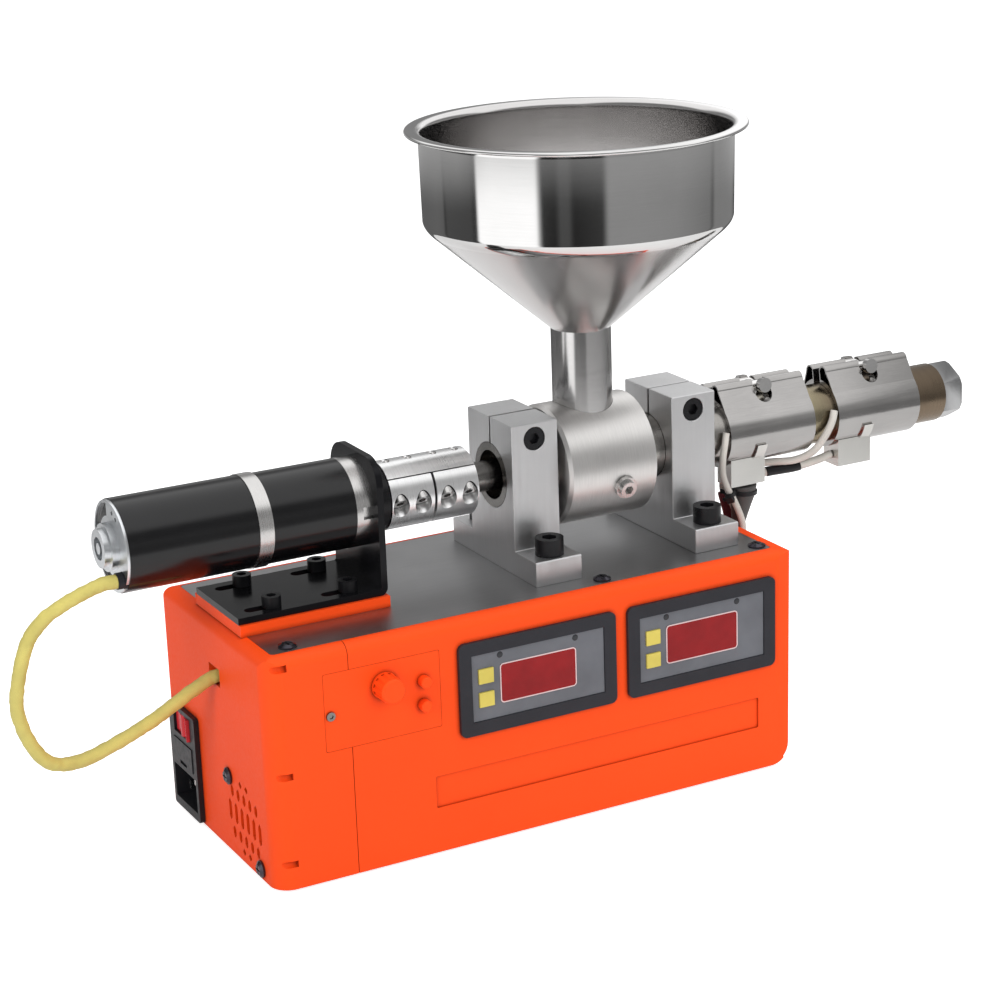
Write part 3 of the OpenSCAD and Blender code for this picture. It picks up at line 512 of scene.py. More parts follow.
BLACK_OXIDE = PaintedMetal(
    "black_oxide", (0.006, 0.006, 0.007), 0.3, gloss=0.24, relief=0.004 * MM
)
SATIN_BLACK = PaintedMetal(
    "satin_black", (0.003, 0.003, 0.0035), 0.2, gloss=0.44, relief=0.0006 * MM, wander=0.03
)
BRACKET_BLACK = PaintedMetal(
    "bracket_black", (0.005, 0.005, 0.006), 0.2, gloss=0.15, relief=0.001 * MM, wander=0.04
)
DARK_ZINC = PaintedMetal(
    "dark_zinc", (0.05, 0.046, 0.058), 0.2, metallic=0.8, relief=0.001 * MM, wander=0.04
)

DECK_SHEET = LinedMetal("deck_sheet", (0.40, 0.40, 0.405), 0.38, Axis.Y, 0.25 * MM, stretch=90.0)
TINNED = LinedMetal("tinned", (0.78, 0.78, 0.77), 0.2)
BRIGHT_STEEL = LinedMetal("bright_steel", (0.62, 0.61, 0.60), 0.26)
CAP_ZINC = LinedMetal("cap_zinc", (0.80, 0.82, 0.84), 0.34)
COUPLING_STEEL = LinedMetal("coupling_steel", (0.90, 0.90, 0.90), 0.3, pitch=0.2 * MM)
POLISHED = LinedMetal(
    "polished", (0.80, 0.79, 0.78), 0.12, Axis.Y, relief=0.0005 * MM, contrast=0.15, smudge=0.05
)
SCREW_STEEL = LinedMetal("screw_steel", (0.23, 0.22, 0.21), 0.22)
FEED_STEEL = LinedMetal("feed_steel", (0.72, 0.705, 0.69), 0.38, pitch=0.15 * MM)
CAP_STEEL = LinedMetal("cap_steel", (0.46, 0.462, 0.465), 0.32)
BAND_STEEL = LinedMetal(
    "band_steel", (0.39, 0.38, 0.372), 0.17, Axis.Z, 0.3 * MM, 0.002 * MM, 30.0, contrast=0.3,
    smudge=0.06,
)
BOX_STEEL = LinedMetal(
    "box_steel", (0.60, 0.59, 0.565), 0.26, Axis.Z, 0.4 * MM, 0.0006 * MM, contrast=0.18,
    smudge=0.05,
)
HOPPER_STEEL = LinedMetal(
    "hopper_steel", (0.66, 0.655, 0.65), 0.07, Axis.Z, 0.3 * MM, 0.0001 * MM, blotch=0.03,
    contrast=0.12, smudge=0.03,
)
HOPPER_INSIDE = replace(
    HOPPER_STEEL, name="hopper_inside", colour=(0.60, 0.59, 0.585), roughness=0.16,
    relief=0.0002 * MM, contrast=0.15, smudge=0.05,
)
HOPPER_SATIN = replace(HOPPER_INSIDE, name="hopper_satin", roughness=0.2, relief=0.0004 * MM)

BLOCK_ALUMINIUM = CastMetal("block_aluminium", (0.64, 0.64, 0.645))

WRAP_TAPE = Braid("wrap_tape", (0.075, 0.07, 0.068), 0.6 * MM, 0.03 * MM, 0.55, 0.0)
YELLOW_SLEEVE = Braid("yellow_sleeve", (0.64, 0.55, 0.15), 0.3 * MM, 0.03 * MM, 0.5, 0.0)
PALE_BRAID = Braid("pale_braid", (0.66, 0.63, 0.58), 0.45 * MM)
RED_BRAID = Braid("red_braid", (0.16, 0.018, 0.03), 0.5 * MM)


# ---- shared mesh code


def link(name: str, data: bpy.types.ID) -> Piece:
    """Puts data into the scene.

    Args:
        name: The new object's name.
        data: Its mesh, lamp or camera.

    Returns:
        The new object.
    """
    made = bpy.data.objects.new(name, data)
    bpy.context.scene.collection.objects.link(made)
    return made


def dress(finish: Finish, *nodes: str) -> None:
    """Puts a finish on parts of the frame.

    Args:
        finish: The finish they get.
        nodes: The parts' names.
    """
    for name in nodes:
        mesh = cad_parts[name].data
        mesh.materials.clear()
        mesh.materials.append(finish.material())
        LOG.info("%s is dressed in %s", name, finish.name)


def add_piece(name: str, mesh: Mesh, finish: Finish) -> Piece:
    """Adds a piece to the machine's fixed body.

    Args:
        name: The piece's name.
        mesh: Its mesh, in the frame's metres.
        finish: The finish it gets.

    Returns:
        The new object.
    """
    mesh.materials.append(finish.material())
    made = link(name, mesh)
    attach(made, MACHINE)
    LOG.info("%s is made in %s", name, finish.name)
    return made


def mesh_of(name: str, form: Form, sharp: Optional[float] = None) -> Mesh:
    """Turns worked geometry into a mesh.

    Args:
        name: The mesh's name.
        form: The geometry, which is freed.
        sharp: Degrees between two faces from which their edge shows sharp, if any edge does.

    Returns:
        The mesh, without the normals of the part that it may be a copy of.
    """
    mesh = bpy.data.meshes.new(name)
    form.to_mesh(mesh)
    form.free()
    if "custom_normal" in mesh.attributes:
        mesh.attributes.remove(mesh.attributes["custom_normal"])
    if sharp:
        mesh.set_sharp_from_angle(angle=math.radians(sharp))
    return mesh


def copy_of(node: str) -> Form:
    """Copies a part of the frame, with each point once.

    Args:
        node: The part's name.

    Returns:
        The copy, ready to be worked.
    """
    form = bmesh.new()
    form.from_mesh(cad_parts[node].data)
    bmesh.ops.remove_doubles(form, verts=form.verts, dist=WELD)
    return form


def skin(form: Form, rings: Sequence[Sequence[Vert]], smooth: bool = True) -> list[Face]:
    """Joins each ring of points to the next by a band of faces.

    Args:
        form: The geometry that the points belong to.
        rings: The rings.
        smooth: Whether the faces are shaded as one curve.

    Returns:
        The faces, band by band.
    """
    faces = []
    for ring, after in zip(rings, rings[1:]):
        for j, point in enumerate(ring):
            k = (j + 1) % len(ring)
            faces.append(form.faces.new((point, ring[k], after[k], after[j])))
            faces[-1].smooth = smooth
    return faces


def broken_edges(node: str, finish: Finish, width: float) -> None:
    """Puts a copy with broken edges in the place of a part of the frame.

    Args:
        node: The part's name.
        finish: The finish that the copy gets.
        width: Width of the chamfers in metres.
    """
    level, corner = math.radians(1.0), math.radians(50)
    form = copy_of(node)
    bmesh.ops.dissolve_limit(form, angle_limit=level, verts=form.verts, edges=form.edges)
    sharp = [edge for edge in form.edges if edge.calc_face_angle(0.0) > corner]
    bmesh.ops.bevel(
        form, geom=sharp, offset=width, segments=1, profile=0.5, affect="EDGES", clamp_overlap=True
    )
    for face in form.faces:
        face.smooth = True
    made = add_piece(f"{node}_chamfered", mesh_of(node, form, SHARP), finish)
    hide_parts(node)


def smooth_curve(route: Sequence[Point], steps: int) -> list[Vector]:
    """Passes a smooth curve through a route.

    Args:
        route: The points to pass through.
        steps: Points made between each two of them.

    Returns:
        The curve's points.
    """
    points = [Vector(p) for p in route]
    last = len(points) - 1
    made = []
    for i in range(last):
        a, b, c, d = points[max(i - 1, 0)], points[i], points[i + 1], points[min(i + 2, last)]
        square, cube = 2 * a - 5 * b + 4 * c - d, 3 * b - a - 3 * c + d
        for k in range(steps):
            t = k / steps
            made.append(0.5 * (2 * b + (c - a) * t + square * t * t + cube * t**3))
    return made + [points[last]]


def place_on(path: Path, distance: float) -> tuple[Vector, Vector]:
    """Finds a place on a path.

    Args:
        path: The path's points.
        distance: How far along it the place is.

    Returns:
        The place and the path's direction there.
    """
    run = 0.0
    for a, b in zip(path, path[1:]):
        step = (b - a).length
        if run + step >= distance:
            return a.lerp(b, (distance - run) / step), (b - a).normalized()
        run += step
    return path[-1].copy(), (path[-1] - path[-2]).normalized()


def sweep(
    name: str, path: Path, radii: Sequence[float], sides: int, crinkle: float = 0.0
) -> Mesh:
    """Makes a closed tube along a path, with UVs in metres along and round it.

    Args:
        name: The mesh's name.
        path: The tube's middle line.
        radii: The tube's radius at each of the path's points.
        sides: Points round each ring.
        crinkle: Share of the radius by which the wall swells and dips.

    Returns:
        The tube's mesh.
    """
    form = bmesh.new()
    layer = form.loops.layers.uv.new("tube")
    rings, run, side = [], [0.0], None
    for i, (place, radius) in enumerate(zip(path, radii)):
        ahead = path[min(i + 1, len(path) - 1)] - path[max(i - 1, 0)]
        ahead.normalize()
        if side is None:
            side = ahead.orthogonal().normalized()
        side = (side - ahead * side.dot(ahead)).normalized()
        other = ahead.cross(side)
        if i:
            run.append(run[-1] + (place - path[i - 1]).length)
        ring = []
        for j in range(sides):
            angle = 2 * math.pi * j / sides
            out = side * math.cos(angle) + other * math.sin(angle)
            swell = 1.0 + crinkle * noise.noise((place + out * radius) * CREASES)
            ring.append(form.verts.new(place + out * radius * swell))
        rings.append(ring)
    girth = 2 * math.pi * max(radii) / sides
    for number, face in enumerate(skin(form, rings)):
        i, j = divmod(number, sides)
        corners = ((run[i], j), (run[i], j + 1), (run[i + 1], j + 1), (run[i + 1], j))
        for loop, (far, turn) in zip(face.loops, corners):
            loop[layer].uv = (far, turn * girth)
    form.faces.new(list(reversed(rings[0])))
    form.faces.new(rings[-1])
    return mesh_of(name, form)


def bend(start: Pair, corner: Pair, end: Pair, steps: int) -> list[Pair]:
    """Makes points on a curve that leaves a point for a corner and comes to its end from it.

    Args:
        start: Where the curve starts.
        corner: The corner that it rounds off.
        end: Where it ends.
        steps: Steps between its two ends.

    Returns:
        The points, with both ends.
    """
    made = []
    for k in range(steps + 1):
        t = k / steps
        shares = ((1 - t) ** 2, 2 * t * (1 - t), t * t)
        parts = zip(start, corner, end)
        made.append(tuple(sum(s * v for s, v in zip(shares, part)) for part in parts))
    return made


def lathe(name: str, outline: Sequence[Pair], centre: Point, sides: int) -> Mesh:
    """Turns a closed outline about the upright through a centre.

    Args:
        name: The mesh's name.
        outline: Radius and height of its points, in millimetres.
        centre: Where the upright stands, in metres.
        sides: Steps round the turn.

    Returns:
        The closed ring.
    """
    form = bmesh.new()
    rings = []
    for radius, height in outline:
        ring = []
        for j in range(sides):
            angle = 2 * math.pi * j / sides
            place = (radius * math.cos(angle) * MM, radius * math.sin(angle) * MM, height * MM)
            ring.append(form.verts.new(Vector(centre) + Vector(place)))
        rings.append(ring)
    skin(form, rings + rings[:1])
    bmesh.ops.recalc_face_normals(form, faces=form.faces)
    return mesh_of(name, form, TURNED_SHARP)


# ---- the studio


@dataclass
class Studio:
    """Camera, pale floor, soft lamps and the tent of boards that the metal mirrors."""

    eye: Point = (-0.54348, -0.97869, 0.48796)
    right: Point = (0.88032289, -0.47319605, -0.03342303)
    up: Point = (0.17132501, 0.2514454, 0.9525875)
    lens: float = 91.457
    sensor: float = 36.0
    clip: Pair = (0.05, 50.0)
    floor: float = 9.0
    ambient: float = 0.42
    # Name, place, side in metres and power in watts
    lamps: Sequence[tuple[str, Point, float, float]] = (
        ("top_lamp", (0.45, -0.2, 1.5), 1.2, 11.0),
        ("left_lamp", (-1.7, -0.7, 0.9), 0.9, 15.0),
        ("front_lamp", (0.2, -1.9, 0.9), 1.1, 18.0),
    )
    target: Point = (0.0, 0.0, 0.15)
    tent_radius: float = 0.62
    tent_glow: float = 1.3
    boards_from: float = 62.4
    # Board's end, in turns from the machine's back by its left, and its brightness
    boards: Sequence[Pair] = (
        (0.0, 0.03), (0.05, 0.09), (0.16, 0.12), (0.185, 0.11), (0.19, 0.04), (0.20, 0.07),
        (0.27, 0.06), (0.285, 0.02), (0.292, 1.15), (0.417, 1.15), (0.424, 0.3), (0.43, 0.03),
        (0.455, 0.02), (0.465, 0.07), (0.48, 0.07), (0.49, 0.02), (0.545, 0.04), (0.556, 0.27),
        (0.70, 0.25), (0.74, 0.22), (0.79, 0.18), (0.80, 0.10), (0.81, 0.21), (0.90, 0.19),
        (0.94, 0.05),
    )
    # Heights at which the boards, their back ones and the roof take over from what is below
    upper_rise: Pair = (0.17, 0.24)
    back_rise: Pair = (0.16, 0.24)
    roof_rise: Pair = (0.26, 0.36)
    # Where the roof's window fades in: two sides along X and two along Y
    window: Sequence[Pair] = ((-0.3, -0.2), (0.44, 0.38), (-0.42, -0.34), (0.44, 0.36))

    def build(self) -> None:
        """Sets the view, the camera, the floor and the light."""
        bpy.context.scene.view_settings.view_transform = "Standard"
        self._camera()
        self._floor()
        self._world()
        self._lamps()
        self._tent()

    def _camera(self) -> None:
        """Places the camera."""
        right, up = Vector(self.right), Vector(self.up)
        turn = Matrix((right, up, right.cross(up))).transposed()
        data = bpy.data.cameras.new("camera")
        data.lens, data.sensor_width = self.lens, self.sensor
        data.clip_start, data.clip_end = self.clip
        camera = link("camera", data)
        camera.matrix_world = Matrix.Translation(self.eye) @ turn.to_4x4()
        bpy.context.scene.camera = camera

    def _floor(self) -> None:
        """Lays the pale floor that the machine stands on."""
        half = self.floor
        corners = [(-half, -half, 0), (half, -half, 0), (half, half, 0), (-half, half, 0)]
        mesh = bpy.data.meshes.new("floor")
        mesh.from_pydata(corners, [], [(0, 1, 2, 3)])
        graph = Surface("floor_paper")
        graph.set(Base_Color=(0.8, 0.8, 0.8), Roughness=0.9, Specular_IOR_Level=0.05)
        graph.bump(graph.noise(900.0), 0.02 * MM, 0.2)
        lift = graph.glow(WHITE, self._seen(graph, 0.75, 0.25))
        both = graph.node("ShaderNodeAddShader", {0: graph.shader.outputs[0], 1: lift})
        graph.feed(graph.output.inputs["Surface"], both.outputs[0])
        mesh.materials.append(graph.material)
        link("floor", mesh)

    def _seen(self, graph: Graph, strength: float, mirrored: float) -> Socket:
        """Makes a strength that depends on what looks.

        Args:
            graph: The tree it is for.
            strength: What the camera sees.
            mirrored: What glossy and transmitted rays see; all other rays see none.

        Returns:
            The strength.
        """
        rays = graph.node("ShaderNodeLightPath").outputs
        seen = graph.maths("MULTIPLY", rays["Is Camera Ray"], strength)
        other = graph.maths("MAXIMUM", rays["Is Glossy Ray"], rays["Is Transmission Ray"])
        return graph.maths("MULTIPLY_ADD", other, mirrored, seen)

    def _world(self) -> None:
        """Makes the white surround, dimmer as a light than as a background."""
        world = bpy.data.worlds.new("surround")
        world.use_nodes = True
        graph = Graph(world.node_tree)
        rays = graph.node("ShaderNodeLightPath").outputs
        seen = graph.maths("MAXIMUM", rays["Is Camera Ray"], rays["Is Glossy Ray"])
        seen = graph.maths("MAXIMUM", seen, rays["Is Transmission Ray"])
        level = graph.span(seen, 0.0, 1.0, self.ambient)
        sky = graph.node("ShaderNodeBackground", {"Color": WHITE, "Strength": level})
        graph.node("ShaderNodeOutputWorld", {"Surface": sky.outputs[0]})
        bpy.context.scene.world = world

    def _lamps(self) -> None:
        """Hangs soft square lamps that face the machine: over it, to the left and in front."""
        for name, place, size, power in self.lamps:
            data = bpy.data.lights.new(name, "AREA")
            data.size, data.energy = size, power
            lamp = link(name, data)
            lamp.location = place
            away = Vector(place) - Vector(self.target)
            lamp.rotation_euler = away.to_track_quat("Z", "Y").to_euler()
            lamp.visible_glossy = False

    def _tent(self) -> None:
        """Stands a ring of boards and a lit roof round the machine, for its metal to mirror."""
        form = bmesh.new()
        bmesh.ops.create_uvsphere(form, u_segments=96, v_segments=48, radius=self.tent_radius)
        low = [v for v in form.verts if v.co.z < -MM]
        bmesh.ops.delete(form, geom=low, context="VERTS")
        mesh = mesh_of("tent", form)
        graph = Surface("tent_cloth")
        mesh.materials.append(graph.material)
        across, deep, height = graph.coordinates()
        turn = graph.maths("ARCTAN2", deep, across)
        turn = graph.maths("MULTIPLY_ADD", turn, 0.5 / math.pi, -self.boards_from / 360)
        turn = graph.maths("FRACT", graph.maths("ADD", turn, 1.0))
        ring = graph.ramp(turn, [(place, (level,) * 3) for place, level in self.boards])
        behind = graph.span(height, *self.back_rise)
        behind = graph.maths("MULTIPLY", graph.span(deep, 0.0, 0.3), behind)
        wall = graph.mix(graph.span(height, *self.upper_rise), ring, shade(WHITE, 0.35))
        wall = graph.mix(behind, wall, shade(WHITE, 0.42))
        lit: Value = 1.0
        for side, ends in zip((across, across, deep, deep), self.window):
            lit = graph.maths("MULTIPLY", lit, graph.span(side, *ends))
        roof = graph.mix(lit, shade(WHITE, 0.2), WHITE)
        cloth = graph.mix(graph.span(height, *self.roof_rise), wall, roof)
        graph.feed(graph.output.inputs["Surface"], graph.glow(cloth, self.tent_glow))
        tent = link("tent", mesh)
        for ray in ("camera", "diffuse", "transmission", "volume_scatter", "shadow"):
            setattr(tent, f"visible_{ray}", False)


# ---- cables


@dataclass
class Sleeve:
    """A sleeve or a wrap over part of a cable, in millimetres along and across it."""

    name: str
    start: float
    end: float
    thick: float
    thin: float
    finish: Finish
    slot: str
    steps: int = 28
    tuck: float = 0.86

    def build(self, path: Path) -> Piece:
        """Makes the sleeve, with its two ends tucked in.

        Args:
            path: The cable's middle line.

        Returns:
            The sleeve.
        """
        shares = [i / self.steps for i in range(self.steps + 1)]
        line = [place_on(path, (self.start + (self.end - self.start) * t) * MM)[0] for t in shares]
        radii = [(self.thick + (self.thin - self.thick) * t) * MM for t in shares]
        for last, before in ((0, 1), (-1, -2)):
            radii[last] *= self.tuck
            line[last] = line[last].lerp(line[before], 0.7)
        return add_piece(self.name, sweep(self.name, line, radii, 28), self.finish)


@dataclass
class Tie:
    """A cable tie pulled round a cable: a flat band, its head and its tail, in millimetres."""

    name: str
    at: float
    radius: float
    turn: float
    tail: float
    width: float
    thick: float
    head: Point = (2.6, 3.6, 4.2)
    soft: float = 0.25

    def build(self, path: Path) -> Piece:
        """Makes the tie.

        Args:
            path: The cable's middle line.

        Returns:
            The tie.
        """
        half, outer, soft = self.width / 2, self.radius + self.thick, self.soft
        outline = [
            (self.radius, -half), (outer - soft, -half), (outer, soft - half),
            (outer, half - soft), (outer - soft, half), (self.radius, half),
        ]
        mesh = lathe(self.name, outline, (0, 0, 0), 40)
        form = bmesh.new()
        form.from_mesh(mesh)
        for centre, size in (
            ((outer + 0.7, 0, 0), self.head),
            ((outer + 0.5, 1.6 + self.tail / 2, 0), (self.thick, self.tail, self.width)),
        ):
            place = Matrix.Translation(Vector(centre) * MM)
            place @= Matrix.Diagonal((*(v * MM for v in size), 1.0))
            block = bmesh.ops.create_cube(form, size=1.0, matrix=place)
            edges = list({edge for vert in block["verts"] for edge in vert.link_edges})
            bmesh.ops.bevel(
                form, geom=edges, offset=0.3 * MM, segments=2, profile=0.5, affect="EDGES"
            )
        form.to_mesh(mesh)
        form.free()
        place, ahead = place_on(path, self.at * MM)
        upright = ahead.to_track_quat("Z", "X").to_matrix().to_4x4()
        spin = Matrix.Rotation(math.radians(self.turn), 4, "Z")
        mesh.transform(Matrix.Translation(place) @ upright @ spin)
        return add_piece(self.name, mesh, TIE_NYLON)


@dataclass
class Cable:
    """One cable: its route in millimetres, as steps from the places its ends come out of."""

    name: str
    start: Point
    first: Sequence[Point]
    stop: Point
    then: Sequence[Point]
    radius: float
    finish: Finish = PALE_BRAID
    slot: str = "lead_glass_fibre"
    crinkle: float = 0.0
    stiffness: str = "limp"
    covers: Sequence[Union[Sleeve, Tie]] = ()

    def build(self) -> None:
        """Makes the cable in place of the frame's plain tube."""
        legs = [(self.start, self.first), (self.stop, self.then)]
        ends = [(place, step) for place, steps in legs for step in steps]
        route = [tuple((a + b) * MM for a, b in zip(place, step)) for place, step in ends]
        path = smooth_curve(route, 16)
        mesh = sweep(self.name, path, [self.radius * MM] * len(path), 24, self.crinkle)
        made = add_piece(f"{self.name}_sleeve", mesh, self.finish)
        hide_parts(self.name)
        [cover.build(path) for cover in self.covers]


@dataclass
class Cabling:
    """The motor's cable and the leads of the heater bands, each ending inside the machine."""

    left: float = -174.8
    deck: float = 107.7
    axis: float = 150.3
    gland: Point = (-45.1, -12.0, 31.0)
    cable_hole: Point = (0.0, 0.0, -25.5)
    lead_hole: Point = (263.5, -4.0, -22.0)
    inner_band: float = 259.1
    outer_band: float = 320.7

    def build(self) -> None:
        """Makes every cable."""
        for cable in (self._motor(), *self._leads()):
            cable.build()

    def _at(self, point: Point) -> Point:
        """Returns a place given from the left face and the deck, in the frame's millimetres."""
        return (self.left + point[0], point[1], self.deck + point[2])

    def _motor(self) -> Cable:
        """Routes the yellow cable from the gland in the motor's end down to its hole in the box.

        Returns:
            The cable.
        """
        return Cable(
            "motor_cable", self._at(self.gland),
            [(0, 0, 0), (-3, 0, 0), (-6, 0, 0), (-12, 0, -1.5), (-22, 0, -5), (-32, 1, -10.5),
             (-40, 2, -20), (-45, 3, -36), (-46, 5, -51)],
            self._at(self.cable_hole),
            [(-86, -6, -11), (-78, -5, -21), (-66, -3, -24), (-51, -2, -21), (-31, -1, -14),
             (-12, 0, -5), (0, 0, 0), (8, 0, 0)],
            3.0, YELLOW_SLEEVE, "cable_yellow", 0.11, "medium",
        )

    def _leads(self) -> list[Cable]:
        """Routes the leads that gather under the bands and go down behind the deck's right lip.

        Returns:
            The four leads.
        """
        hole = self._at(self.lead_hole)
        height = self.axis - self.deck
        return [
            Cable(
                "inner_heater_lead", self._at((self.inner_band + 13, -6, height - 25.1)),
                [(0, 0, 0), (0, 0, -5), (-1, 0, -10.5)],
                hole, [(6, -2.4, 20), (5.6, -2.4, 8), (0, -2.4, 0), (-8, -2.4, 0)], 2.0,
                covers=(
                    Sleeve("lead_wrap", 0.6, 24.0, 6.9, 2.4, WRAP_TAPE, "black_plastic"),
                    Tie("wrap_tie", 4.6, 6.2, -20.0, 6.0, 2.2, 0.8),
                ),
            ),
            Cable(
                "outer_heater_lead", self._at((self.outer_band + 2.3, -6, height - 20)),
                [(0, 0, 0), (-8, 0, -1.6), (-19.5, 2, -3.5), (-34.5, 6.6, -5), (-45.5, 8.4, -7.5),
                 (-52.5, 7.8, -13)],
                hole, [(9, 2.2, 19), (7, 2.2, 7), (0, 2.2, 0), (-8, 2.2, 0)], 2.0,
                covers=(
                    Sleeve("lead_shrink_tube", 17.0, 35.0, 2.4, 2.4, TIE_NYLON, "black_plastic"),
                ),
            ),
            Cable(
                "inner_sensor_lead", self._at((self.inner_band, 0, height)),
                [(-2.4, -15.8, 4), (-3.8, -16.6, -1.5), (-4.3, -15.6, -9), (-3, -13.6, -17),
                 (0.3, -12.2, -24.5), (5, -10.8, -32), (9, -10.6, -41)],
                hole, [(5.6, -6.6, 18), (5.2, -6.6, 8), (0, -6.6, 0), (-8, -6.6, 0)], 1.6,
                covers=(Tie("sensor_tie", 34.0, 1.7, 150.0, 2.0, 2.2, 0.9),),
            ),
            Cable(
                "outer_sensor_lead", self._at((self.outer_band, 0, height)),
                [(-2.5, -15.8, 5), (-4.5, -16.8, 0), (-8, -15.9, -7), (-12.5, -12.6, -14.5),
                 (-19, -7, -19), (-28, -1, -20), (-38, 4.7, -20.8), (-47, 8.2, -22.4),
                 (-51, 7.6, -30)],
                hole, [(7, 7.2, 20), (6.6, 6.8, 8), (0, 6.6, 0), (-8, 6.6, 0)], 1.8,
                covers=(Sleeve("sensor_sleeve", 76.0, 101.0, 3.0, 2.6, RED_BRAID, "lead_red"),),
            ),
        ]


# ---- sub-assemblies


@dataclass
class ControlBox:
    """Printed box with its metal deck and screws, in millimetres."""

    upright: float = 9.0
    crisp: float = 0.5
    still: float = 5.4
    heel: float = 10.0
    heel_steps: int = 8

    def build(self) -> None:
        """Dresses the box and gives its right half crisper corners."""
        dress(ORANGE_PRINT, "housing_left", "motor_riser")
        self._right_half()
        dress(FEET_RUBBER, "rubber_feet")
        dress(DECK_SHEET, "deck_plate")
        dress(DARK_ZINC, "case_screws")
        dress(BLACK_OXIDE, "bracket_bolts")

    def _right_half(self) -> None:
        """Puts a copy in the right half's place, with crisp upright corners and a round heel."""
        form = copy_of("housing_right")
        low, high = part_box("housing_right")
        for step in range(self.heel_steps):
            reach = (1 - math.sin(math.pi / 2 * step / self.heel_steps)) * self.heel * MM
            upright = ((high[0] - reach, 0, 0), (1, 0, 0))
            level = ((0, 0, low[2] + reach), (0, 0, 1))
            for place, normal in (upright, level):
                geometry = form.verts[:] + form.edges[:] + form.faces[:]
                bmesh.ops.bisect_plane(
                    form, geom=geometry, dist=WELD / 2, plane_co=place, plane_no=normal
                )
        for vert in form.verts:
            self._square_corner(vert, high)
            self._round_heel(vert, low, high)
        for face in form.faces:
            face.smooth = True
        bmesh.ops.triangulate(form, faces=form.faces)
        mesh = mesh_of("housing_right", form, SHARP)
        made = add_piece("housing_right_shell", mesh, ORANGE_PRINT)
        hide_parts("housing_right")

    def _square_corner(self, vert: Vert, high: Point) -> None:
        """Moves a point of an upright corner out to a crisper corner.

        Args:
            vert: The point.
            high: The half's highest corner.
        """
        upright, crisp, still = self.upright * MM, self.crisp * MM, self.still * MM
        across = vert.co.x - high[0] + upright
        aside = abs(vert.co.y) - high[1] + upright
        distance = math.hypot(across, aside)
        if across <= 0 or aside <= 0 or distance <= still:
            return
        angle = math.atan2(aside, across)
        lean = abs(angle - math.pi / 4)
        inset = upright - crisp
        if upright * math.tan(math.pi / 4 - lean) <= inset:
            reach = upright / math.cos(math.pi / 4 - lean)
        else:
            swing = math.asin(inset * math.sqrt(2) * math.sin(lean) / crisp)
            reach = inset * math.sqrt(2) * math.cos(lean) + crisp * math.cos(swing)
        moved = still + (distance - still) * (reach - still) / (upright - still)
        vert.co.x += (moved - distance) * math.cos(angle)
        vert.co.y += math.copysign((moved - distance) * math.sin(angle), vert.co.y)

    def _round_heel(self, vert: Vert, low: Point, high: Point) -> None:
        """Moves a point of the square lower right edge in to a round one.

        Args:
            vert: The point.
            low: The half's lowest corner.
            high: Its highest corner.
        """
        across = vert.co.x - high[0] + self.heel * MM
        down = low[2] + self.heel * MM - vert.co.z
        if across <= 0 or down <= 0:
            return
        shrink = max(across, down) / math.hypot(across, down)
        vert.co.x += (shrink - 1) * across
        vert.co.z -= (shrink - 1) * down


@dataclass
class FrontControls:
    """Speed panel and the two panel meters, in millimetres."""

    window: Pair = (37.5, 17.6)
    trim_out: Pair = (0.45, 1.8)
    trim_in: Pair = (-0.05, 1.3)
    trim_rise: float = 0.08
    trim_root: float = -0.1
    lens: Point = (1.45, 0.35, 1.45)
    lens_place: Point = (0.2, 0.15, 13.5)

    def build(self) -> None:
        """Dresses the controls and adds what is printed and set round the displays."""
        dress(ORANGE_PRINT, "control_panel", "speed_knob", "upper_button", "lower_button")
        dress(SCREW_STEEL, "panel_screw")
        dress(BEZEL_PLASTIC, "meter_bezels")
        dress(METER_FILM, "meter_faces")
        dress(RED_WINDOW, "meter_displays")
        dress(KEY_RUBBER, "meter_keys")
        self._trims()
        self._lights()

    def _windows(self) -> list[Point]:
        """Finds the two displays.

        Returns:
            The middles of their fronts, in metres.
        """
        (left, front, low), (right, _, high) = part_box("meter_displays")
        half = self.window[0] * MM / 2
        return [(x, front, (low + high) / 2) for x in (left + half, right - half)]

    def _corners(self, centre: Point, grow: float, radius: float, lift: float) -> list[Vector]:
        """Makes a line round a window, with rounded corners.

        Args:
            centre: The window's middle, in metres.
            grow: How far the line stands outside the window.
            radius: Its corners' radius.
            lift: How far it stands in front of the window.

        Returns:
            The line's points.
        """
        half = [side / 2 + grow - radius for side in self.window]
        points = []
        for right, up, start in ((1, 1, 0), (-1, 1, 90), (-1, -1, 180), (1, -1, 270)):
            for angle in (math.radians(start + 15 * step) for step in range(7)):
                x = right * half[0] + radius * math.cos(angle)
                z = up * half[1] + radius * math.sin(angle)
                points.append(Vector(centre) + Vector((x, -lift, z)) * MM)
        return points

    def _trims(self) -> None:
        """Prints the thin pale line round each display."""
        form = bmesh.new()
        root, top = self.trim_root, self.trim_rise
        for centre in self._windows():
            rings = []
            outer, inner = self.trim_out, self.trim_in
            for side, lift in ((outer, root), (outer, top), (inner, top), (inner, root)):
                line = self._corners(centre, *side, lift)
                rings.append([form.verts.new(point) for point in line])
            skin(form, rings + rings[:1], smooth=False)
        bmesh.ops.recalc_face_normals(form, faces=form.faces)
        add_piece("meter_trims", mesh_of("meter_trims", form), TRIM_INK)

    def _lights(self) -> None:
        """Sets two small smoked indicator lenses over each display."""
        form = bmesh.new()
        size = Matrix.Diagonal((*(radius * MM for radius in self.lens), 1.0))
        aside, back, rise = self.lens_place
        for x, front, z in self._windows():
            for side in (-1, 1):
                over = x + side * (self.window[0] / 2 + aside) * MM
                place = Matrix.Translation((over, front + back * MM, z + rise * MM))
                bmesh.ops.create_uvsphere(
                    form, u_segments=28, v_segments=14, radius=1.0, matrix=place @ size
                )
        for face in form.faces:
            face.smooth = True
        add_piece("meter_lights", mesh_of("meter_lights", form), SMOKED_LENS)


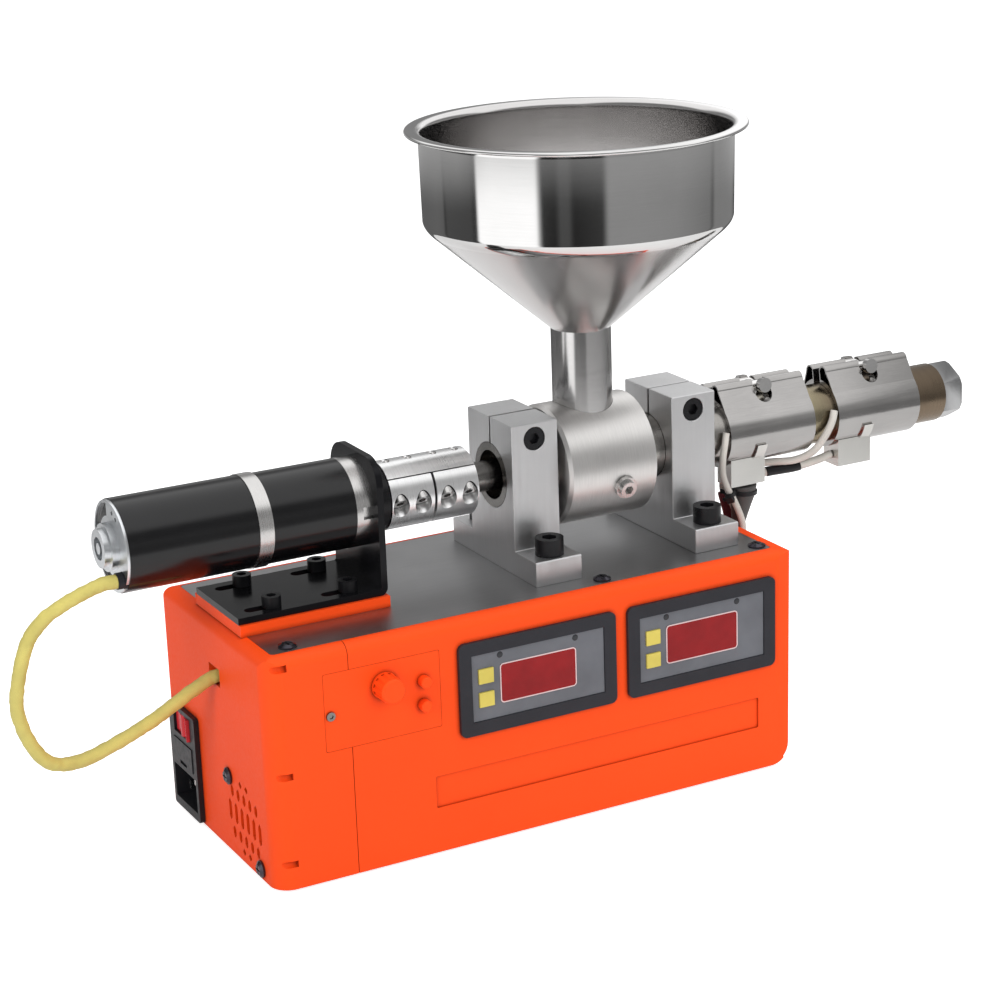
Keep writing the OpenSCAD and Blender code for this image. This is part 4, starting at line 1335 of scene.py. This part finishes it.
@dataclass
class PowerInlet:
    """Mains inlet with its fuse drawer and rocker switch."""

    def build(self) -> None:
        """Dresses the inlet."""
        dress(BLACK_PLASTIC, "inlet_body", "fuse_drawer")
        dress(TINNED, "inlet_pins")
        dress(ROCKER_RED, "rocker_switch")


@dataclass
class GearMotor:
    """Gear motor on its bracket."""

    def build(self) -> None:
        """Dresses the motor."""
        dress(SATIN_BLACK, "motor_can", "gearbox_case")
        dress(BRACKET_BLACK, "motor_bracket")
        dress(CAP_ZINC, "motor_end_cap")
        dress(BRIGHT_STEEL, "gearbox_rings")
        dress(BLACK_OXIDE, "gearbox_boss")
        dress(BLACK_PLASTIC, "cable_gland")


@dataclass
class ScrewLine:
    """Shafts, coupling, screw, barrel and the blocks that hold them, in millimetres."""

    block_chamfer: float = 0.45
    cap_chamfer: float = 0.7
    tint_lead: float = 30.0

    def build(self) -> None:
        """Dresses the screw line and breaks its blocks' and its cap's edges."""
        dress(BRIGHT_STEEL, "output_shaft", "coupling_bolts", "feed_set_screw")
        dress(COUPLING_STEEL, "coupling_upper", "coupling_lower")
        dress(BLACK_OXIDE, "block_bolts")
        dress(SCREW_STEEL, "screw_shank", "screw_flight")
        dress(FEED_STEEL, "feed_housing")
        for block in ("clamp_block_left", "clamp_block_right"):
            broken_edges(block, BLOCK_ALUMINIUM, self.block_chamfer * MM)
        broken_edges("nozzle_cap", CAP_STEEL, self.cap_chamfer * MM)
        (cut, *_), (end, *_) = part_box("barrel")
        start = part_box("heater_band_inner")[1][0] - self.tint_lead * MM
        steel = HeatTintedSteel(
            "barrel_steel", (0.36, 0.345, 0.325), cut=cut, start=start, end=end
        )
        dress(steel, "barrel")


@dataclass
class Hopper:
    """Spun steel hopper on its neck, in millimetres over the deck."""

    deck: float = 107.7
    mouth: float = 70.2
    neck: float = 13.8
    sheet: float = 1.2
    rim: float = 197.4
    cone: float = 105.0
    knee: float = 153.1
    knee_in: float = 4.0
    flare: float = 5.65
    bead: float = 0.85
    lip: float = 2.6
    satin: float = 2.2
    sides: int = 192

    def build(self) -> None:
        """Spins the bowl and rolls the neck in place of the frame's faceted ones."""
        low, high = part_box("hopper_neck")
        centre = ((low[0] + high[0]) / 2, (low[1] + high[1]) / 2, self.deck * MM)
        self._spin("hopper_bowl", self._bowl(), centre)
        foot, top, bore = low[2] / MM - self.deck, self.cone, self.neck - self.sheet
        tube = [(self.neck, foot), (self.neck, top), (bore, top), (bore, foot)]
        self._spin("hopper_neck", tube, centre)

    def _spin(self, node: str, outline: Sequence[Pair], centre: Point) -> None:
        """Turns an outline into a piece that stands for a part of the frame.

        Args:
            node: The part's name.
            outline: Radius and height of the outline's points.
            centre: Where it turns, in metres.
        """
        mesh = lathe(node, outline, centre, self.sides)
        made = add_piece(f"{node}_spun", mesh, HOPPER_STEEL)
        for finish in (HOPPER_INSIDE, HOPPER_SATIN):
            mesh.materials.append(finish.material())
        for face in mesh.polygons:
            out = face.center - Vector(centre)
            inwards = -0.2 * math.hypot(out.x, out.y)
            if face.normal.x * out.x + face.normal.y * out.y < inwards:
                face.material_index = 1
            elif out.z < (self.knee - self.satin) * MM:
                face.material_index = 2
        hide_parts(node)

    def _bowl(self) -> list[Pair]:
        """Draws the sheet, up its outside from the neck, over the rim and down its inside.

        Returns:
            The outline's points.
        """
        wall, turn = self.mouth - 0.3, self.mouth - self.knee_in
        brim, bore = self.mouth + 0.3, self.neck - self.sheet
        outside = bend(
            (turn, self.knee - 2.5), (wall - 0.35, self.knee + 0.4), (wall, self.knee + 3.1), 10
        )
        flare = bend(
            (brim, self.rim - self.lip), (self.mouth + 0.6, self.rim - 1.35),
            (self.mouth + 2.4, self.rim - 1.3), 6,
        )
        edge = (self.mouth + self.flare, self.rim - self.bead)
        bead = [
            (edge[0] + self.bead * math.cos(a), edge[1] + self.bead * math.sin(a))
            for a in (math.radians(d) for d in range(-140, 91, 15))
        ]
        over = bend(
            (self.mouth + 2.2, self.rim - 0.02), (self.mouth - 0.8, self.rim - 0.1),
            (brim - self.sheet, self.rim - self.lip - 0.6), 8,
        )
        inside = bend(
            (wall - self.sheet, self.knee + 3.6), (wall - self.sheet - 0.4, self.knee + 0.9),
            (turn - self.sheet, self.knee - 1.9), 10,
        )
        ease = 0.8 * (turn - self.neck) / (self.knee - 2.5 - self.cone)
        low, high = self.knee + 4, self.rim - self.lip - 1.2
        return [
            (self.neck, self.cone), (self.neck + ease, self.cone + 0.8),
            (turn - ease, self.knee - 3.3), *outside, (wall, low), (brim, high), *flare, *bead,
            (edge[0] - 0.6, self.rim - 0.01), *over, (brim - self.sheet, high - 0.6),
            (wall - self.sheet, low + 0.6), *inside, (turn - self.sheet - ease, self.knee - 2.7),
            (bore + ease, self.cone + 1.4), (bore, self.cone + 0.6), (bore, self.cone),
        ]


@dataclass
class HeaterBands:
    """Two heater bands with their clamp screws and terminal boxes, in millimetres."""

    box_chamfer: float = 0.25

    def build(self) -> None:
        """Dresses the bands and breaks the edges of their terminal boxes."""
        dress(BAND_STEEL, "heater_band_inner", "heater_band_outer")
        dress(POLISHED, "band_clamp_bolts")
        broken_edges("terminal_boxes", BOX_STEEL, self.box_chamfer * MM)


def main() -> None:
    """Builds the studio and each sub-assembly in order."""
    logging.basicConfig(level=logging.INFO)
    for maker in (
        Studio(), Cabling(), ControlBox(), FrontControls(), PowerInlet(), GearMotor(), ScrewLine(),
        Hopper(), HeaterBands(),
    ):
        maker.build()
        LOG.info("%s is ready", type(maker).__name__)


if __name__ == "__main__":
    main()
